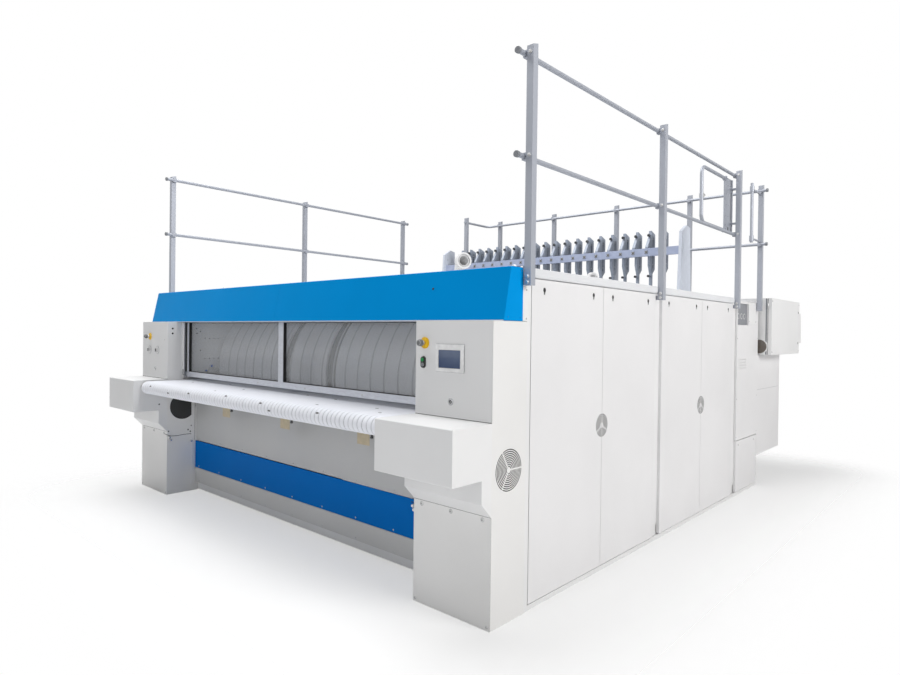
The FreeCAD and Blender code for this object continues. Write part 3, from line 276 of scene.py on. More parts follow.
def woven(name, colour, thread, ribs=0.0, ribbons=None):
    """Close weave: warp and weft as two crossed waves, with soft lengthwise shading.

    Where it is cut in ribbons, given by the first one's edge and their pitch, each is darkened
    towards its edges as painted shade where the ribbons meet.
    """
    finish = Finish(name)
    warp = finish.add("ShaderNodeTexWave", {"Scale": thread, "Distortion": 0.6, "Detail": 2.0},
                      bands_direction="X")
    weft = finish.add("ShaderNodeTexWave", {"Scale": thread, "Distortion": 0.6, "Detail": 2.0},
                      bands_direction="DIAGONAL")
    for wave in (warp, weft):
        finish.link(finish.place, wave.inputs["Vector"])
    cloth = finish.math("MULTIPLY", warp.outputs["Fac"], weft.outputs["Fac"])
    shade = finish.noise(3.0, 5.0, (1 + ribs, 1, 1))
    threads = finish.ramp(cloth, (0.0, scaled(colour, 0.95)), (1.0, colour))
    tone = finish.mix(finish.math("MULTIPLY", shade, 0.35), threads, scaled(colour, 0.92))
    if ribbons:
        start, pitch = ribbons
        across = finish.math("SUBTRACT", finish.axis("X"), start)
        inset = finish.math("DIVIDE", finish.math("PINGPONG", across, pitch / 2), pitch / 2)
        # Painted shade: each ribbon darkens towards its edges, standing in for shade at the gaps.
        edge = finish.add("ShaderNodeMapRange", {"From Min": 0.1, "From Max": 0.42, "To Min": 0.22,
                                                 "To Max": 0.0}, interpolation_type="SMOOTHSTEP")
        finish.link(inset, edge.inputs["Value"])
        tone = finish.mix(edge.outputs["Result"], tone, scaled(colour, 0.35))
    finish.colour(tone)
    finish.put(Roughness=0.82, Sheen_Weight=0.25, Sheen_Roughness=0.5)
    finish.relief(cloth, 0.0004, 0.4)
    return finish.material


def pane_glass(name):
    """Clear pane that lets most light through and mirrors a little at a slant."""
    finish = Finish(name)
    smear = finish.noise(2.2, 5.0)
    finish.colour(finish.ramp(smear, (0.3, (0.90, 0.93, 0.94)), (0.7, (0.96, 0.97, 0.98))))
    finish.roughness(smear, 0.02, 0.06)
    finish.put(IOR=1.45, Alpha=0.16, Specular_IOR_Level=0.6)
    return finish.material


def screen_glass(name):
    """Unlit display behind glass: blue-grey, with a soft change of tone across it."""
    finish = Finish(name)
    drift = finish.noise(7.0, 2.0)
    finish.colour(finish.ramp(drift, (0.3, (0.055, 0.085, 0.17)), (0.7, (0.10, 0.14, 0.235))))
    finish.roughness(finish.noise(30.0), 0.1, 0.16)
    finish.put(Coat_Weight=0.5)
    return finish.material


def tensioner_paint(name):
    """Pale end plates, a lilac-white beam and blue-grey arms, all in one node."""
    finish = Finish(name)
    wear = finish.noise(24.0, 5.0)
    arm = finish.ramp(wear, (0.3, (0.26, 0.30, 0.37)), (0.7, (0.36, 0.40, 0.48)))
    beam = finish.ramp(wear, (0.3, (0.36, 0.41, 0.56)), (0.7, (0.42, 0.47, 0.62)))
    plate = finish.ramp(wear, (0.3, (0.58, 0.62, 0.70)), (0.7, (0.64, 0.68, 0.76)))
    front = finish.math("LESS_THAN", finish.axis("Y"), at(0, 3513, 0).y)
    height = finish.between(finish.axis("Z"), 2.191, 2.269)
    colour = finish.mix(finish.math("MULTIPLY", front, height), arm, beam)
    off_centre = finish.math("ABSOLUTE", finish.math("SUBTRACT", finish.axis("X"), at(0, 0, 0).x))
    colour = finish.mix(finish.math("GREATER_THAN", off_centre, 1.4985), colour, plate)
    finish.colour(colour)
    finish.put(Metallic=0.1)
    finish.roughness(wear, 0.35, 0.5)
    finish.relief(finish.noise(300.0, 2.0), 0.0001, 0.2, edge=0.0015)
    return finish.material


def front_sheet_paint(name):
    """Light grey sheet whose brackets, nearer the front, are beige."""
    finish = Finish(name)
    cloud = finish.noise(2.4, 4.0)
    sheet = finish.ramp(cloud, (0.3, (0.49, 0.495, 0.50)), (0.7, (0.52, 0.52, 0.515)))
    bracket = finish.ramp(cloud, (0.3, (0.45, 0.40, 0.30)), (0.7, (0.50, 0.44, 0.33)))
    near = finish.math("LESS_THAN", finish.axis("Y"), at(0, 200, 0).y)
    finish.colour(finish.mix(near, sheet, bracket))
    finish.roughness(finish.noise(9.0, 4.0), 0.46, 0.58)
    finish.relief(finish.noise(420.0, 2.0), 0.00012, 0.25, edge=0.0015)
    return finish.material


WHITE = powder_coat("powder_white", (0.80, 0.80, 0.80))
# The pedestal and side panel whites both paint near-black shade behind their round grilles.
PEDESTAL_WHITE = powder_coat("powder_white_pedestal", (0.80, 0.795, 0.785),
                             grilles=((*PEDESTAL_GRILLE, 112.0),))
SIDE_WHITE = powder_coat("powder_white_panels", (0.785, 0.78, 0.785), 0.4,
                         grilles=[(y, GRILLE_HEIGHT, 70.0) for y in GRILLE_PLACES])
FRONT_GREY = powder_coat("powder_light_grey", (0.58, 0.58, 0.57), 0.5)
SHEET_GREY = front_sheet_paint("powder_front_sheet")
ROOF_WHITE = powder_coat("powder_white_roof", (0.74, 0.75, 0.77), 0.5)
BLUE = powder_coat("powder_blue", (0.0, 0.29, 0.72), 0.36, 0.0, 0.03)
BLUE_LOW = powder_coat("powder_blue_low", (0.0, 0.15, 0.52), 0.42, 0.0, 0.03)
FRAME_GREY = powder_coat("powder_frame", (0.42, 0.43, 0.44), 0.5)
RAIL = galvanised("zinc_rail", (0.38, 0.40, 0.45))
POLISHED = metal("steel_polished", (0.70, 0.70, 0.71), 0.22, (1, 30, 30), 8.0)
BRIGHT_SCREW = metal("steel_screw", (0.55, 0.55, 0.55), 0.3)
DARK_STEEL = metal("steel_dark", (0.16, 0.16, 0.16), 0.45)
CAST = powder_coat("cast_paint", (0.18, 0.20, 0.22), 0.5, 0.0)
WINDOW_METAL = metal("window_anodised", (0.60, 0.62, 0.67), 0.42, (4, 40, 40), 9.0)
TENSIONER = tensioner_paint("tensioner_row")
BELT_CLOTH = woven("belt_ribbon", (0.92, 0.935, 0.99), 260.0,
                   ribbons=(at(-RIBBON_REACH, 0, 0).x, RIBBON_PITCH / 1000))
FELT = woven("roll_felt", (0.72, 0.725, 0.75), 180.0, 30.0)
TAPE_CLOTH = woven("guide_tape", (0.50, 0.50, 0.52), 300.0)
GLASS = pane_glass("window_pane")
SCREEN = screen_glass("display")
BLACK = plastic("plastic_black", (0.018, 0.018, 0.02))
RUBBER = plastic("rubber_seal", (0.012, 0.012, 0.012), 0.7)
YELLOW = plastic("plastic_yellow", (0.86, 0.52, 0.0), 0.35)
GREEN = plastic("plastic_green", (0.01, 0.28, 0.07), 0.3)
LIGHT_GREY = plastic("plastic_light_grey", (0.64, 0.64, 0.64), 0.4)
PURE_WHITE = plastic("plastic_white", (0.88, 0.88, 0.88), 0.35)
MID_GREY = plastic("plastic_mid_grey", (0.22, 0.23, 0.25), 0.4)
STOP_GREY = plastic("plastic_stop_grey", (0.15, 0.155, 0.16), 0.35)
DARK_GREY = plastic("plastic_dark_grey", (0.07, 0.075, 0.08), 0.4)
FILTER = woven("filter_mat", (0.15, 0.125, 0.10), 420.0)
BLUE_PLASTIC = plastic("plastic_blue", (0.01, 0.10, 0.55), 0.35)
BEIGE = plastic("plastic_beige", (0.52, 0.44, 0.30), 0.5)

# The CAD's own pieces by finish; a star stands for both hands.
NODE_FINISH = (
    (WHITE, "main_frame side_frame_* vapour_outlet_1 vapour_outlet_2 inlet_cover_* control_door_* "
            "electrical_cabinet cabinet_hood cabinet_door"),
    (ROOF_WHITE, "roof_panel"),
    (BLUE, "fascia_*"),
    (BLUE_LOW, "coloured_panel"),
    (PEDESTAL_WHITE, "pedestal_*"),
    (SIDE_WHITE, "rear_door_* rear_housing side_panel_1_* side_panel_2_* side_panel_3_* "
                 "side_panel_4_*"),
    (YELLOW, "stop_collar_*"),
    (STOP_GREY, "stop_head_*"),
    (PURE_WHITE, "operator_panel"),
    (BLACK, "push_switch"),
    (GREEN, "start_button"),
    (LIGHT_GREY, "stop_button selector_1 selector_2"),
    (SHEET_GREY, "front_sheet"),
    (FRONT_GREY, "kick_plate"),
    (POLISHED, "nose_roller feed_roller table_bed chest_front chest_rear chest_bridge "
               "delivery_roller"),
    (WINDOW_METAL, "window_frame"),
    (GLASS, "window_glass"),
    (CAST, "roll_drive_front roll_drive_rear"),
    (RAIL, "guard_rail_* guard_rail_rear safety_gate"),
    (TENSIONER, "tension_beam"),
)


def paint_nodes():
    for material, names in NODE_FINISH:
        for name in names.split():
            for hand in ("right", "left") if "*" in name else ("",):
                mesh = NODES[name.replace("*", hand)].data
                mesh.materials.clear()
                mesh.materials.append(material)


# ---------------------------------------------------------------- geometry of the pieces

class Piece:
    """Faces gathered in building millimetres and turned into one object at the end."""

    def __init__(self, name):
        self.name = name
        self.mesh = bmesh.new()
        self.materials = []

    def slot_of(self, material):
        if material not in self.materials:
            self.materials.append(material)
        return self.materials.index(material)

    def grid(self, rows, material, closed_rows=False, closed_columns=False):
        """Faces between rows of points that all have the same count."""
        slot = self.slot_of(material)
        made = [[self.mesh.verts.new(point) for point in row] for row in rows]
        count = len(made[0])
        row_pairs = list(zip(made, made[1:] + (made[:1] if closed_columns else [])))
        if not closed_columns:
            row_pairs = row_pairs[:len(made) - 1]
        for low, high in row_pairs:
            for i in range(count if closed_rows else count - 1):
                j = (i + 1) % count
                corners = [low[i], low[j], high[j], high[i]]
                if len(set(corners)) == 4:
                    self.mesh.faces.new(corners).material_index = slot
        return made

    def cap(self, ring, material):
        self.mesh.faces.new(ring).material_index = self.slot_of(material)

    def turned(self, origin, axis, profile, material, steps=24, hollow=False):
        """A body of revolution: (radius, height) pairs along an axis from an origin.

        A hollow one is a ring whose profile closes on itself.
        """
        origin, axis = Vector(origin), axis.normalized()
        side = axis.orthogonal().normalized()
        other = axis.cross(side)
        rows = [[origin + axis * height + (side * math.cos(a) + other * math.sin(a)) * radius
                 for a in circle(steps)] for radius, height in profile]
        made = self.grid(rows, material, closed_rows=True, closed_columns=hollow)
        if not hollow:
            self.cap(list(reversed(made[0])), material)
            self.cap(made[-1], material)

    def block(self, one, other, material, edge=1.0):
        """A block between two opposite corners with bevelled edges."""
        low, high = Vector(map(min, one, other)), Vector(map(max, one, other))
        size = high - low
        transform = Matrix.Translation((low + high) / 2) @ Matrix.Diagonal((*size, 1))
        made = bmesh.ops.create_cube(self.mesh, size=1.0, matrix=transform)["verts"]
        faces = set(face for vertex in made for face in vertex.link_faces)
        edges = set(side for face in faces for side in face.edges)
        slot = self.slot_of(material)
        for face in faces:
            face.material_index = slot
        limit = min(abs(value) for value in size) / 2.2
        bmesh.ops.bevel(self.mesh, geom=list(edges), offset=min(edge, limit), segments=2,
                        affect="EDGES", material=slot)

    def plate(self, outline, direction, material, edge=0.0):
        """A flat outline of points pulled along a direction."""
        slot = self.slot_of(material)
        ring = [self.mesh.verts.new(point) for point in outline]
        face = self.mesh.faces.new(ring)
        face.material_index = slot
        made = bmesh.ops.extrude_face_region(self.mesh, geom=[face])["geom"]
        top = [item for item in made if isinstance(item, bmesh.types.BMVert)]
        bmesh.ops.translate(self.mesh, verts=top, vec=direction)
        for vertex in ring + top:
            for side in vertex.link_faces:
                side.material_index = slot
        if edge:
            rims = [item for item in made if isinstance(item, bmesh.types.BMEdge)]
            bmesh.ops.bevel(self.mesh, geom=rims, offset=edge, segments=2, affect="EDGES",
                            material=slot)

    def tube(self, route, radius, material, steps=12):
        """A round bar through a list of points."""
        rows = []
        side = (route[1] - route[0]).orthogonal().normalized()
        for number, point in enumerate(route):
            ahead = route[min(number + 1, len(route) - 1)] - route[max(number - 1, 0)]
            ahead.normalize()
            side = (side - ahead * side.dot(ahead)).normalized()
            other = ahead.cross(side)
            rows.append([point + (side * math.cos(a) + other * math.sin(a)) * radius
                         for a in circle(steps)])
        made = self.grid(rows, material, closed_rows=True)
        self.cap(list(reversed(made[0])), material)
        self.cap(made[-1], material)

    def finish(self, body, sharp=32.0, slot=None):
        """Make the object, smooth but for its sharp edges, and let it ride on a body."""
        bmesh.ops.recalc_face_normals(self.mesh, faces=self.mesh.faces)
        limit = math.radians(sharp)
        for face in self.mesh.faces:
            face.smooth = True
        for edge in self.mesh.edges:
            if len(edge.link_faces) == 2 and edge.calc_face_angle() > limit:
                edge.smooth = False
        for vertex in self.mesh.verts:
            vertex.co = at(*vertex.co)
        mesh = bpy.data.meshes.new(self.name)
        self.mesh.to_mesh(mesh)
        self.mesh.free()
        for material in self.materials:
            mesh.materials.append(material)
        piece = bpy.data.objects.new(self.name, mesh)
        bpy.context.scene.collection.objects.link(piece)
        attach(piece, body)
        return piece


def point(x, y, z):
    return Vector((x, y, z))


def screw(piece, origin, axis, radius, material=BRIGHT_SCREW, height=3.0):
    """Button-head screw with a hexagon socket, on a washer."""
    piece.turned(origin, axis, [(radius * 1.45, 0), (radius * 1.45, 0.9), (radius * 1.38, 1.2)],
                 material)
    head = [(radius, 1.1), (radius, 1.1 + height * 0.35), (radius * 0.82, 1.1 + height * 0.8),
            (radius * 0.5, 1.1 + height), (radius * 0.45, 1.1 + height)]
    piece.turned(origin, axis, head, material)
    socket = radius * 0.46
    piece.turned(Vector(origin) + axis * (height + 0.9), axis, [(socket, 0), (socket, 0.3)],
                 DARK_STEEL, 6)


def hex_bolt(piece, origin, axis, radius, height=7.0, material=BRIGHT_SCREW):
    """Hexagon bolt head on a washer."""
    piece.turned(origin, axis, [(radius * 1.35, 0), (radius * 1.35, 1.6), (radius * 1.28, 2.0)],
                 material)
    piece.turned(origin, axis, [(radius, 1.8), (radius, height * 0.85), (radius * 0.86, height)],
                 material, 6)


# ---------------------------------------------------------------- soft goods

def loop_points(radius, steps):
    """Places round the nose and feed rollers, as (y, z), for one closed loop."""
    places = []
    for step in range(steps + 1):
        angle = math.pi / 2 + math.pi * step / steps
        places.append((NOSE_Y + radius * math.cos(angle), BELT_AXIS + radius * math.sin(angle)))
    for step in range(1, 10):
        places.append((NOSE_Y + (FEED_Y - NOSE_Y) * step / 10, BELT_AXIS - radius))
    for step in range(steps + 1):
        angle = -math.pi / 2 + math.pi * step / steps
        places.append((FEED_Y + radius * math.cos(angle), BELT_AXIS + radius * math.sin(angle)))
    for step in range(1, 10):
        places.append((FEED_Y + (NOSE_Y - FEED_Y) * step / 10, BELT_AXIS + radius))
    return places


def feed_ribbons():
    """Narrow woven belts side by side round both table rollers, each a little crowned."""
    ribbons = Piece("belt_ribbons")
    width = RIBBON_PITCH - RIBBON_GAP
    # Across each ribbon: (share of the half width, depth below the outer face), round once.
    section = ((-0.97, 3.2), (-1.0, 1.9), (-0.88, 0.85), (-0.5, 0.15), (0.0, 0.0), (0.5, 0.15),
               (0.88, 0.85), (1.0, 1.9), (0.97, 3.2), (0.0, 3.4))
    outer = loop_points(BELT_RADIUS, 14)
    inner_line = loop_points(BELT_RADIUS - 1.0, 14)
    for number in range(RIBBON_COUNT):
        centre = -RIBBON_REACH + RIBBON_PITCH * (number + 0.5) + CHANCE.uniform(-0.4, 0.4)
        lift = CHANCE.uniform(0.0, 0.5)
        rows = []
        for (y, z), (iy, iz) in zip(outer, inner_line):
            inward = Vector((0, iy - y, iz - z))
            rows.append([point(centre + share * width / 2, y, z) + inward * (depth + lift)
                         for share, depth in section])
        ribbons.grid(rows, BELT_CLOTH, closed_rows=True, closed_columns=True)
    piece = ribbons.finish("housing", sharp=70, slot="belt_cotton")
    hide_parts("feed_belt")


# Metal hooks that join the ribbons' ends, as seen from the feeding side: (x, y) on the upper
# run, or (x, degrees round the nose roller from the top) on the curve.
HOOKS_ON_TOP = ((-361, -150), (-356, 51), (283, 162), (797, -110), (652, 140), (-1180, 60),
                (-800, 190), (1180, 30), (1330, -80))
HOOKS_ON_NOSE = ((-127, 42), (335, 55), (446, 97), (-1320, 62), (-989, 96), (-640, 70),
                 (930, 60))


def ribbon_hooks():
    """Small dark oval hooks where the two ends of a ribbon meet."""
    hooks = Piece("ribbon_hooks")

    def oval(x, place, along, outward):
        number = round((x + RIBBON_REACH) / RIBBON_PITCH - 0.5)
        centre = -RIBBON_REACH + RIBBON_PITCH * (number + 0.5)
        outline = [point(centre, *place) + X * 15 * math.cos(a) + along * 5.5 * math.sin(a)
                   + outward * 0.1 for a in circle(20)]
        hooks.plate(outline, outward * 0.7, DARK_STEEL, edge=0.3)

    for x, y in HOOKS_ON_TOP:
        oval(x, (y, BELT_AXIS + BELT_RADIUS), Y, Z)
    for x, degrees in HOOKS_ON_NOSE:
        angle = math.radians(90 + degrees)
        outward = Vector((0, math.cos(angle), math.sin(angle)))
        along = Vector((0, -outward.z, outward.y))
        oval(x, (NOSE_Y + BELT_RADIUS * outward.y, BELT_AXIS + BELT_RADIUS * outward.z), along,
             outward)
    hooks.finish("housing")


# Bare steel bands between the padded lengths of the rolls, as seen through the window.
BARE_BANDS = ((-450.0, -352.0), (104.0, 222.0))


def padded_roll(which):
    """Steel drum with three wound felt sleeves, their tucked ends, end discs and journals."""
    roll = Piece(f"padded_roll_{which}")
    y = ROLL_PLACES[which]
    steps = 160
    sleeves = []
    start = -ROLL_END
    for low, high in BARE_BANDS:
        sleeves.append((start, low))
        start = high
    sleeves.append((start, ROLL_END))
    for low, high in sleeves:
        rows = []
        count = max(8, int((high - low) / 9))
        for number in range(count + 1):
            x = low + (high - low) * number / count
            edge = min(x - low, high - x)
            tuck = 7.0 * (1 - min(1.0, edge / 16.0)) ** 2
            ring = []
            for angle in circle(steps):
                winding = 0.35 * math.sin(2 * math.pi * x / 34.0 + angle)
                swell = 0.5 * math.sin(3 * angle + x / 210.0)
                radius = ROLL_RADIUS - 1.2 - tuck + winding + swell * 0.6
                ring.append(point(x, y + radius * math.cos(angle),
                                  ROLL_HEIGHT + radius * math.sin(angle)))
            rows.append(ring)
        made = roll.grid(rows, FELT, closed_rows=True)
        for ring, inside in ((made[0], low), (made[-1], high)):
            drum = ROLL_RADIUS - 26
            inner_ring = [roll.mesh.verts.new(point(inside, y + drum * math.cos(a),
                                                    ROLL_HEIGHT + drum * math.sin(a)))
                          for a in circle(steps)]
            for i in range(steps):
                j = (i + 1) % steps
                face = roll.mesh.faces.new([ring[i], ring[j], inner_ring[j], inner_ring[i]])
                face.material_index = roll.slot_of(FELT)
    bore, shell, length = ROLL_RADIUS - 60, ROLL_RADIUS - 22, 2 * ROLL_END - 6
    roll.turned((-ROLL_END + 3, y, ROLL_HEIGHT), X,
                [(bore, 0), (shell, 0), (shell, length), (bore, length)], DARK_STEEL, 96)
    for side in (-1, 1):
        face_x = side * (ROLL_END - 30)
        roll.turned((face_x, y, ROLL_HEIGHT), X * side,
                    [(ROLL_RADIUS - 55, -10), (ROLL_RADIUS - 55, 0), (240, 4), (150, 24), (96, 28),
                     (96, 40), (60, 40)], CAST, 64)
        for number in range(12):
            angle = math.radians(30 * number)
            place = point(face_x + side * 2, y + 480 * math.cos(angle),
                          ROLL_HEIGHT + 480 * math.sin(angle))
            hex_bolt(roll, place, X * side, 11)
    roll.turned((-ROLL_END - 215, y, ROLL_HEIGHT), X,
                [(54, 0), (60, 5), (60, 2 * ROLL_END + 310), (54, 2 * ROLL_END + 315)],
                POLISHED, 40)
    piece = roll.finish("roll_" + which, sharp=40, slot="roll_padding")
    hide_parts("roll_" + which)


def guide_tapes():
    """Narrow tapes that lead the linen over both rolls and up to their tensioners."""
    tapes = Piece("guide_tapes")
    lift = 0.9
    route = []
    radius = ROLL_RADIUS + lift
    for which, start, stop in (("front", 196, 9), ("rear", 171, 8)):
        for angle in (math.radians(degrees) for degrees in range(start, stop, -4)):
            route.append((ROLL_PLACES[which] + radius * math.cos(angle),
                          ROLL_HEIGHT + radius * math.sin(angle)))
    route += [(3440.0, 1420.0), (3590.0, 1706.0)]
    for number in range(TAPE_COUNT):
        x = FIRST_TAPE + TAPE_PITCH * number
        rows = []
        for place, (y, z) in enumerate(route):
            before = route[max(place - 1, 0)]
            after = route[min(place + 1, len(route) - 1)]
            ahead = Vector((0, after[0] - before[0], after[1] - before[1])).normalized()
            outward = Vector((0, -ahead.z, ahead.y))
            base = point(x, y, z)
            half = TAPE_WIDTH / 2
            rows.append([base - X * half, base - X * (half - 1) + outward * 0.8,
                         base + X * (half - 1) + outward * 0.8, base + X * half])
        made = tapes.grid(rows, TAPE_CLOTH, closed_rows=True)
        tapes.cap(list(reversed(made[0])), TAPE_CLOTH)
        tapes.cap(made[-1], TAPE_CLOTH)
    piece = tapes.finish("housing", sharp=60, slot="belt_cotton")


# ---------------------------------------------------------------- controls

SELECTOR_HEIGHT = 1234.0
PUSH_PLACE = (1569.0, 1264.0)
ESTOP_PLACES = {"right": (1578.0, 1365.0), "left": (-1873.0, 1353.0)}


def emergency_stop(side):
    """Moulded collar with a stepped rim, and the head with its bright stem ring."""
    x, z = ESTOP_PLACES[side]
    origin = point(x, 0, z)
    collar = Piece("stop_shroud_" + side)
    collar.turned(origin, -Y, [(30, 0.2), (30.2, 3.4), (28.6, 4.9), (22.5, 5.6), (21.4, 7.6),
                               (15.5, 9.4), (12.2, 9.4), (12.2, 8.6)], YELLOW, 48)
    collar.finish("control_door_" + side, slot="yellow_plastic")
    head = Piece("stop_button_head_" + side)
    head.turned(origin, -Y, [(11.0, 8.0), (11.0, 16.5), (13.6, 17.2), (14.2, 18.5), (14.2, 23.0),
                             (13.0, 25.0), (10.5, 26.0)], POLISHED, 40)
    head.turned(origin, -Y, [(10.0, 25.5), (16.4, 26.6), (17.7, 28.4), (18.1, 31.5), (18.1, 42.5),
                             (17.0, 46.5), (13.4, 49.8), (7.0, 51.4), (1.5, 51.9)], STOP_GREY, 48)
    head.turned(origin, -Y, [(12.9, 49.4), (14.2, 49.4), (13.5, 50.5), (12.8, 50.5)],
                LIGHT_GREY, 40, hollow=True)
    piece = head.finish("stop_head_" + side, slot="grey_plastic")
    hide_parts("stop_head_" + side)


def rotary_selector(number, x):
    """Knob with a waisted grip and a pointer line, in a thin mid-grey ring that outlines a large
    flat disc: the ring is the disc edge's painted shadow.
    """
    origin = point(x, 0, SELECTOR_HEIGHT)
    ring = Piece(f"selector_ring_{number}")
    # Painted shadow: the mid-grey ring stands for the shade along the flat disc's edge.
    ring.turned(origin, -Y, [(33.9, 0.2), (35.3, 0.2), (35.3, 1.5), (34.4, 2.1), (33.9, 1.7)],
                MID_GREY, 64, hollow=True)
    ring.turned(origin, -Y, [(14.9, 1.7), (17.5, 1.7), (16.6, 3.0), (14.9, 3.2)], LIGHT_GREY, 40,
                hollow=True)
    ring.finish("control_door_left")
    knob = Piece(f"selector_grip_{number}")
    knob.turned(origin, -Y, [(14.2, 2.2), (14.3, 9.5), (13.4, 12.3), (11.0, 12.7)], LIGHT_GREY, 40)
    knob.block(origin + point(-4.0, -22.4, -14.0), origin + point(4.0, -11.6, 14.0),
               DARK_GREY, 2.0)
    knob.block(origin + point(-0.9, -22.9, 1.0), origin + point(0.9, -22.2, 12.6), LIGHT_GREY, 0.2)
    knob.finish(f"selector_{number}")


def double_push():
    """Black oval surround, a bar between the two buttons and dished button caps."""
    x, z = PUSH_PLACE
    surround = Piece("push_switch_surround")
    outline = []
    for centre, start in ((15.5, 0), (-15.5, 180)):
        for step in range(17):
            angle = math.radians(start + 180 * step / 16)
            outline.append(point(x + 16.0 * math.cos(angle), -0.1,
                                 z + centre + 16.0 * math.sin(angle)))
    surround.plate(outline, -Y * 0.7, BLACK, edge=0.2)
    surround.block((x - 6.5, -10.6, z - 2.4), (x + 6.5, -8.4, z + 2.4), DARK_GREY, 0.6)
    surround.finish("control_door_right")
    for label, material, body, height in (("start", GREEN, "start_button", 13),
                                          ("stop", MID_GREY, "stop_button", -13)):
        cap = Piece(f"{label}_button_cap")
        cap.turned((x, -11.4, z + height), -Y,
                   [(9.55, 0), (9.6, 1.1), (8.8, 2.0), (6.0, 1.75), (1.0, 1.5)], material, 32)
        cap.finish(body)


def touch_screen():
    """Unlit display sunk in its bezel, the bezel's chamfered frame and its front film, and a thin
    mid-grey strip round the bezel's foot as its painted shadow.
    """
    screen = Piece("touch_screen")
    x0, x1, z0, z1 = 1681.0, 1829.0, 1240.0, 1332.0
    screen.block((x0 + 0.4, -6.0, z0 + 0.4), (x1 - 0.4, -4.8, z1 - 0.4), SCREEN, 0.5)
    lines = [((x0 - 3, x0), (z0 - 3, z1 + 3)), ((x1, x1 + 3), (z0 - 3, z1 + 3)),
             ((x0, x1), (z0 - 3, z0)), ((x0, x1), (z1, z1 + 3))]
    for (a, b), (c, d) in lines:
        screen.block((a, -7.7, c), (b, -6.6, d), PURE_WHITE, 0.5)
    # Painted shadow: thin mid-grey strips just outside the bezel stand for its shadow on the door.
    for (a, b), (c, d) in (((1659.6, 1661), (1219.6, 1362)), ((1851, 1852.4), (1219.6, 1362)),
                           ((1661, 1851), (1219.6, 1221)), ((1661, 1851), (1361, 1362))):
        screen.block((a, -1.2, c), (b, -0.1, d), MID_GREY, 0.3)
    screen.finish("control_door_right")


def cylinder_lock(piece, origin, axis, radius=15.0):
    """Round lock: dark gasket, bright rim, dark recessed core and key slot."""
    piece.turned(origin, axis, [(radius + 2.4, 0), (radius + 2.2, 0.9), (radius - 0.5, 1.0)],
                 MID_GREY, 36, hollow=True)
    rim = [(radius, 0), (radius, 1.8), (radius * 0.9, 2.8), (radius * 0.66, 2.8),
           (radius * 0.62, 0.4)]
    piece.turned(origin, axis, rim, POLISHED, 36, hollow=True)
    piece.turned(origin, axis, [(radius * 0.62, 0.4), (radius * 0.6, 1.3), (radius * 0.1, 1.4)],
                 DARK_GREY, 32)
    across = axis.cross(Z).normalized()
    piece.block(origin + axis * 1.2 - across * 1.3 - Z * 5.5,
                origin + axis * 1.9 + across * 1.3 + Z * 5.5, BRIGHT_SCREW, 0.2)


def control_box_details():
    """Locks, door gaskets and plugs in the inner side of both boxes, and an edge screw on the left
    box.
    """
    right = Piece("control_lock_right")
    cylinder_lock(right, point(1763, 0, 1072), -Y)
    right.finish("control_door_right")
    left = Piece("control_lock_left")
    cylinder_lock(left, point(-1763, 0, 1072), -Y)
    screw(left, (-1576, 0, 1326), -Y, 2.6, height=1.6)
    left.finish("control_door_left")
    plugs = Piece("cable_plugs")
    for side in (-1, 1):
        for z in (1424.0, 1382.0):
            plugs.turned((side * INNER, 40, z), -X * side,
                         [(7.6, 0.1), (7.6, 1.2), (6.6, 2.0), (3.0, 2.2)], RUBBER)
    plugs.finish("housing")
    seal = Piece("control_door_seals")
    for side in (-1, 1):
        x0, x1 = sorted((side * (INNER + 0.5), side * (HALF_WIDTH - 3.0)))
        seal.block((x0, 0.5, 990.4), (x1, 2.5, 992.6), RUBBER, 0.4)
    seal.finish("housing")


# ---------------------------------------------------------------- feeding side

def pedestal_details():
    """Screws of the front plates, joint lines, and a black disc behind each round grille as
    painted shade.
    """
    screws = Piece("pedestal_screws")
    seams = Piece("pedestal_seams")
    for side in (-1, 1):
        for x in (1568.0, 1773.0, 1979.0):
            screw(screws, (side * x, 0, 524), -Y, 8.5, height=4.0)
        for x in (1528.0, 2012.0):
            screw(screws, (side * x, 0, 17), -Y, 5.5, height=2.5)
        x0, x1 = sorted((side * (INNER + 1), side * (HALF_WIDTH - 1)))
        seams.block((x0, -0.35, 541.5), (x1, 0.4, 543.2), RUBBER, 0.2)
        edge = sorted((side * (HALF_WIDTH + 0.3), side * (HALF_WIDTH - 0.4)))
        seams.block((edge[0], 1.2, 2), (edge[1], 2.2, 542), RUBBER, 0.1)
        for z in (1495.0, 1640.0):
            screw(screws, point(side * (HALF_WIDTH - 2.5), 268, z), X * side, 4.0, height=1.6)
    screws.finish("housing")
    seams.finish("housing")
    shade_discs = Piece("grille_shade_discs")
    # Painted shade: a black disc behind each grille's slots darkens them as shade would.
    for side in (-1, 1):
        shade_discs.turned(point(side * (HALF_WIDTH - 7), *PEDESTAL_GRILLE), X * side,
                    [(107, 0), (107.5, 2), (104, 2.6), (8, 2.8), (4, 3.2)], RUBBER, 64)
    shade_discs.finish("housing")


# Painted shadow line under the flange's curved edge, knobs and screws on the inner side of each
# pedestal, as (y, z) places.
FLANGE_SHADOW_LINE = ((-20.6, 526), (6, 510), (34, 500), (86, 497), (127, 500), (170, 502), (215.5, 500))
FLANGE_KNOBS = ((22, 470), (13, 493), (203, 441))
FLANGE_SCREWS = ((12, 542), (212, 573), (182, 539), (203, 522), (-68, 780))


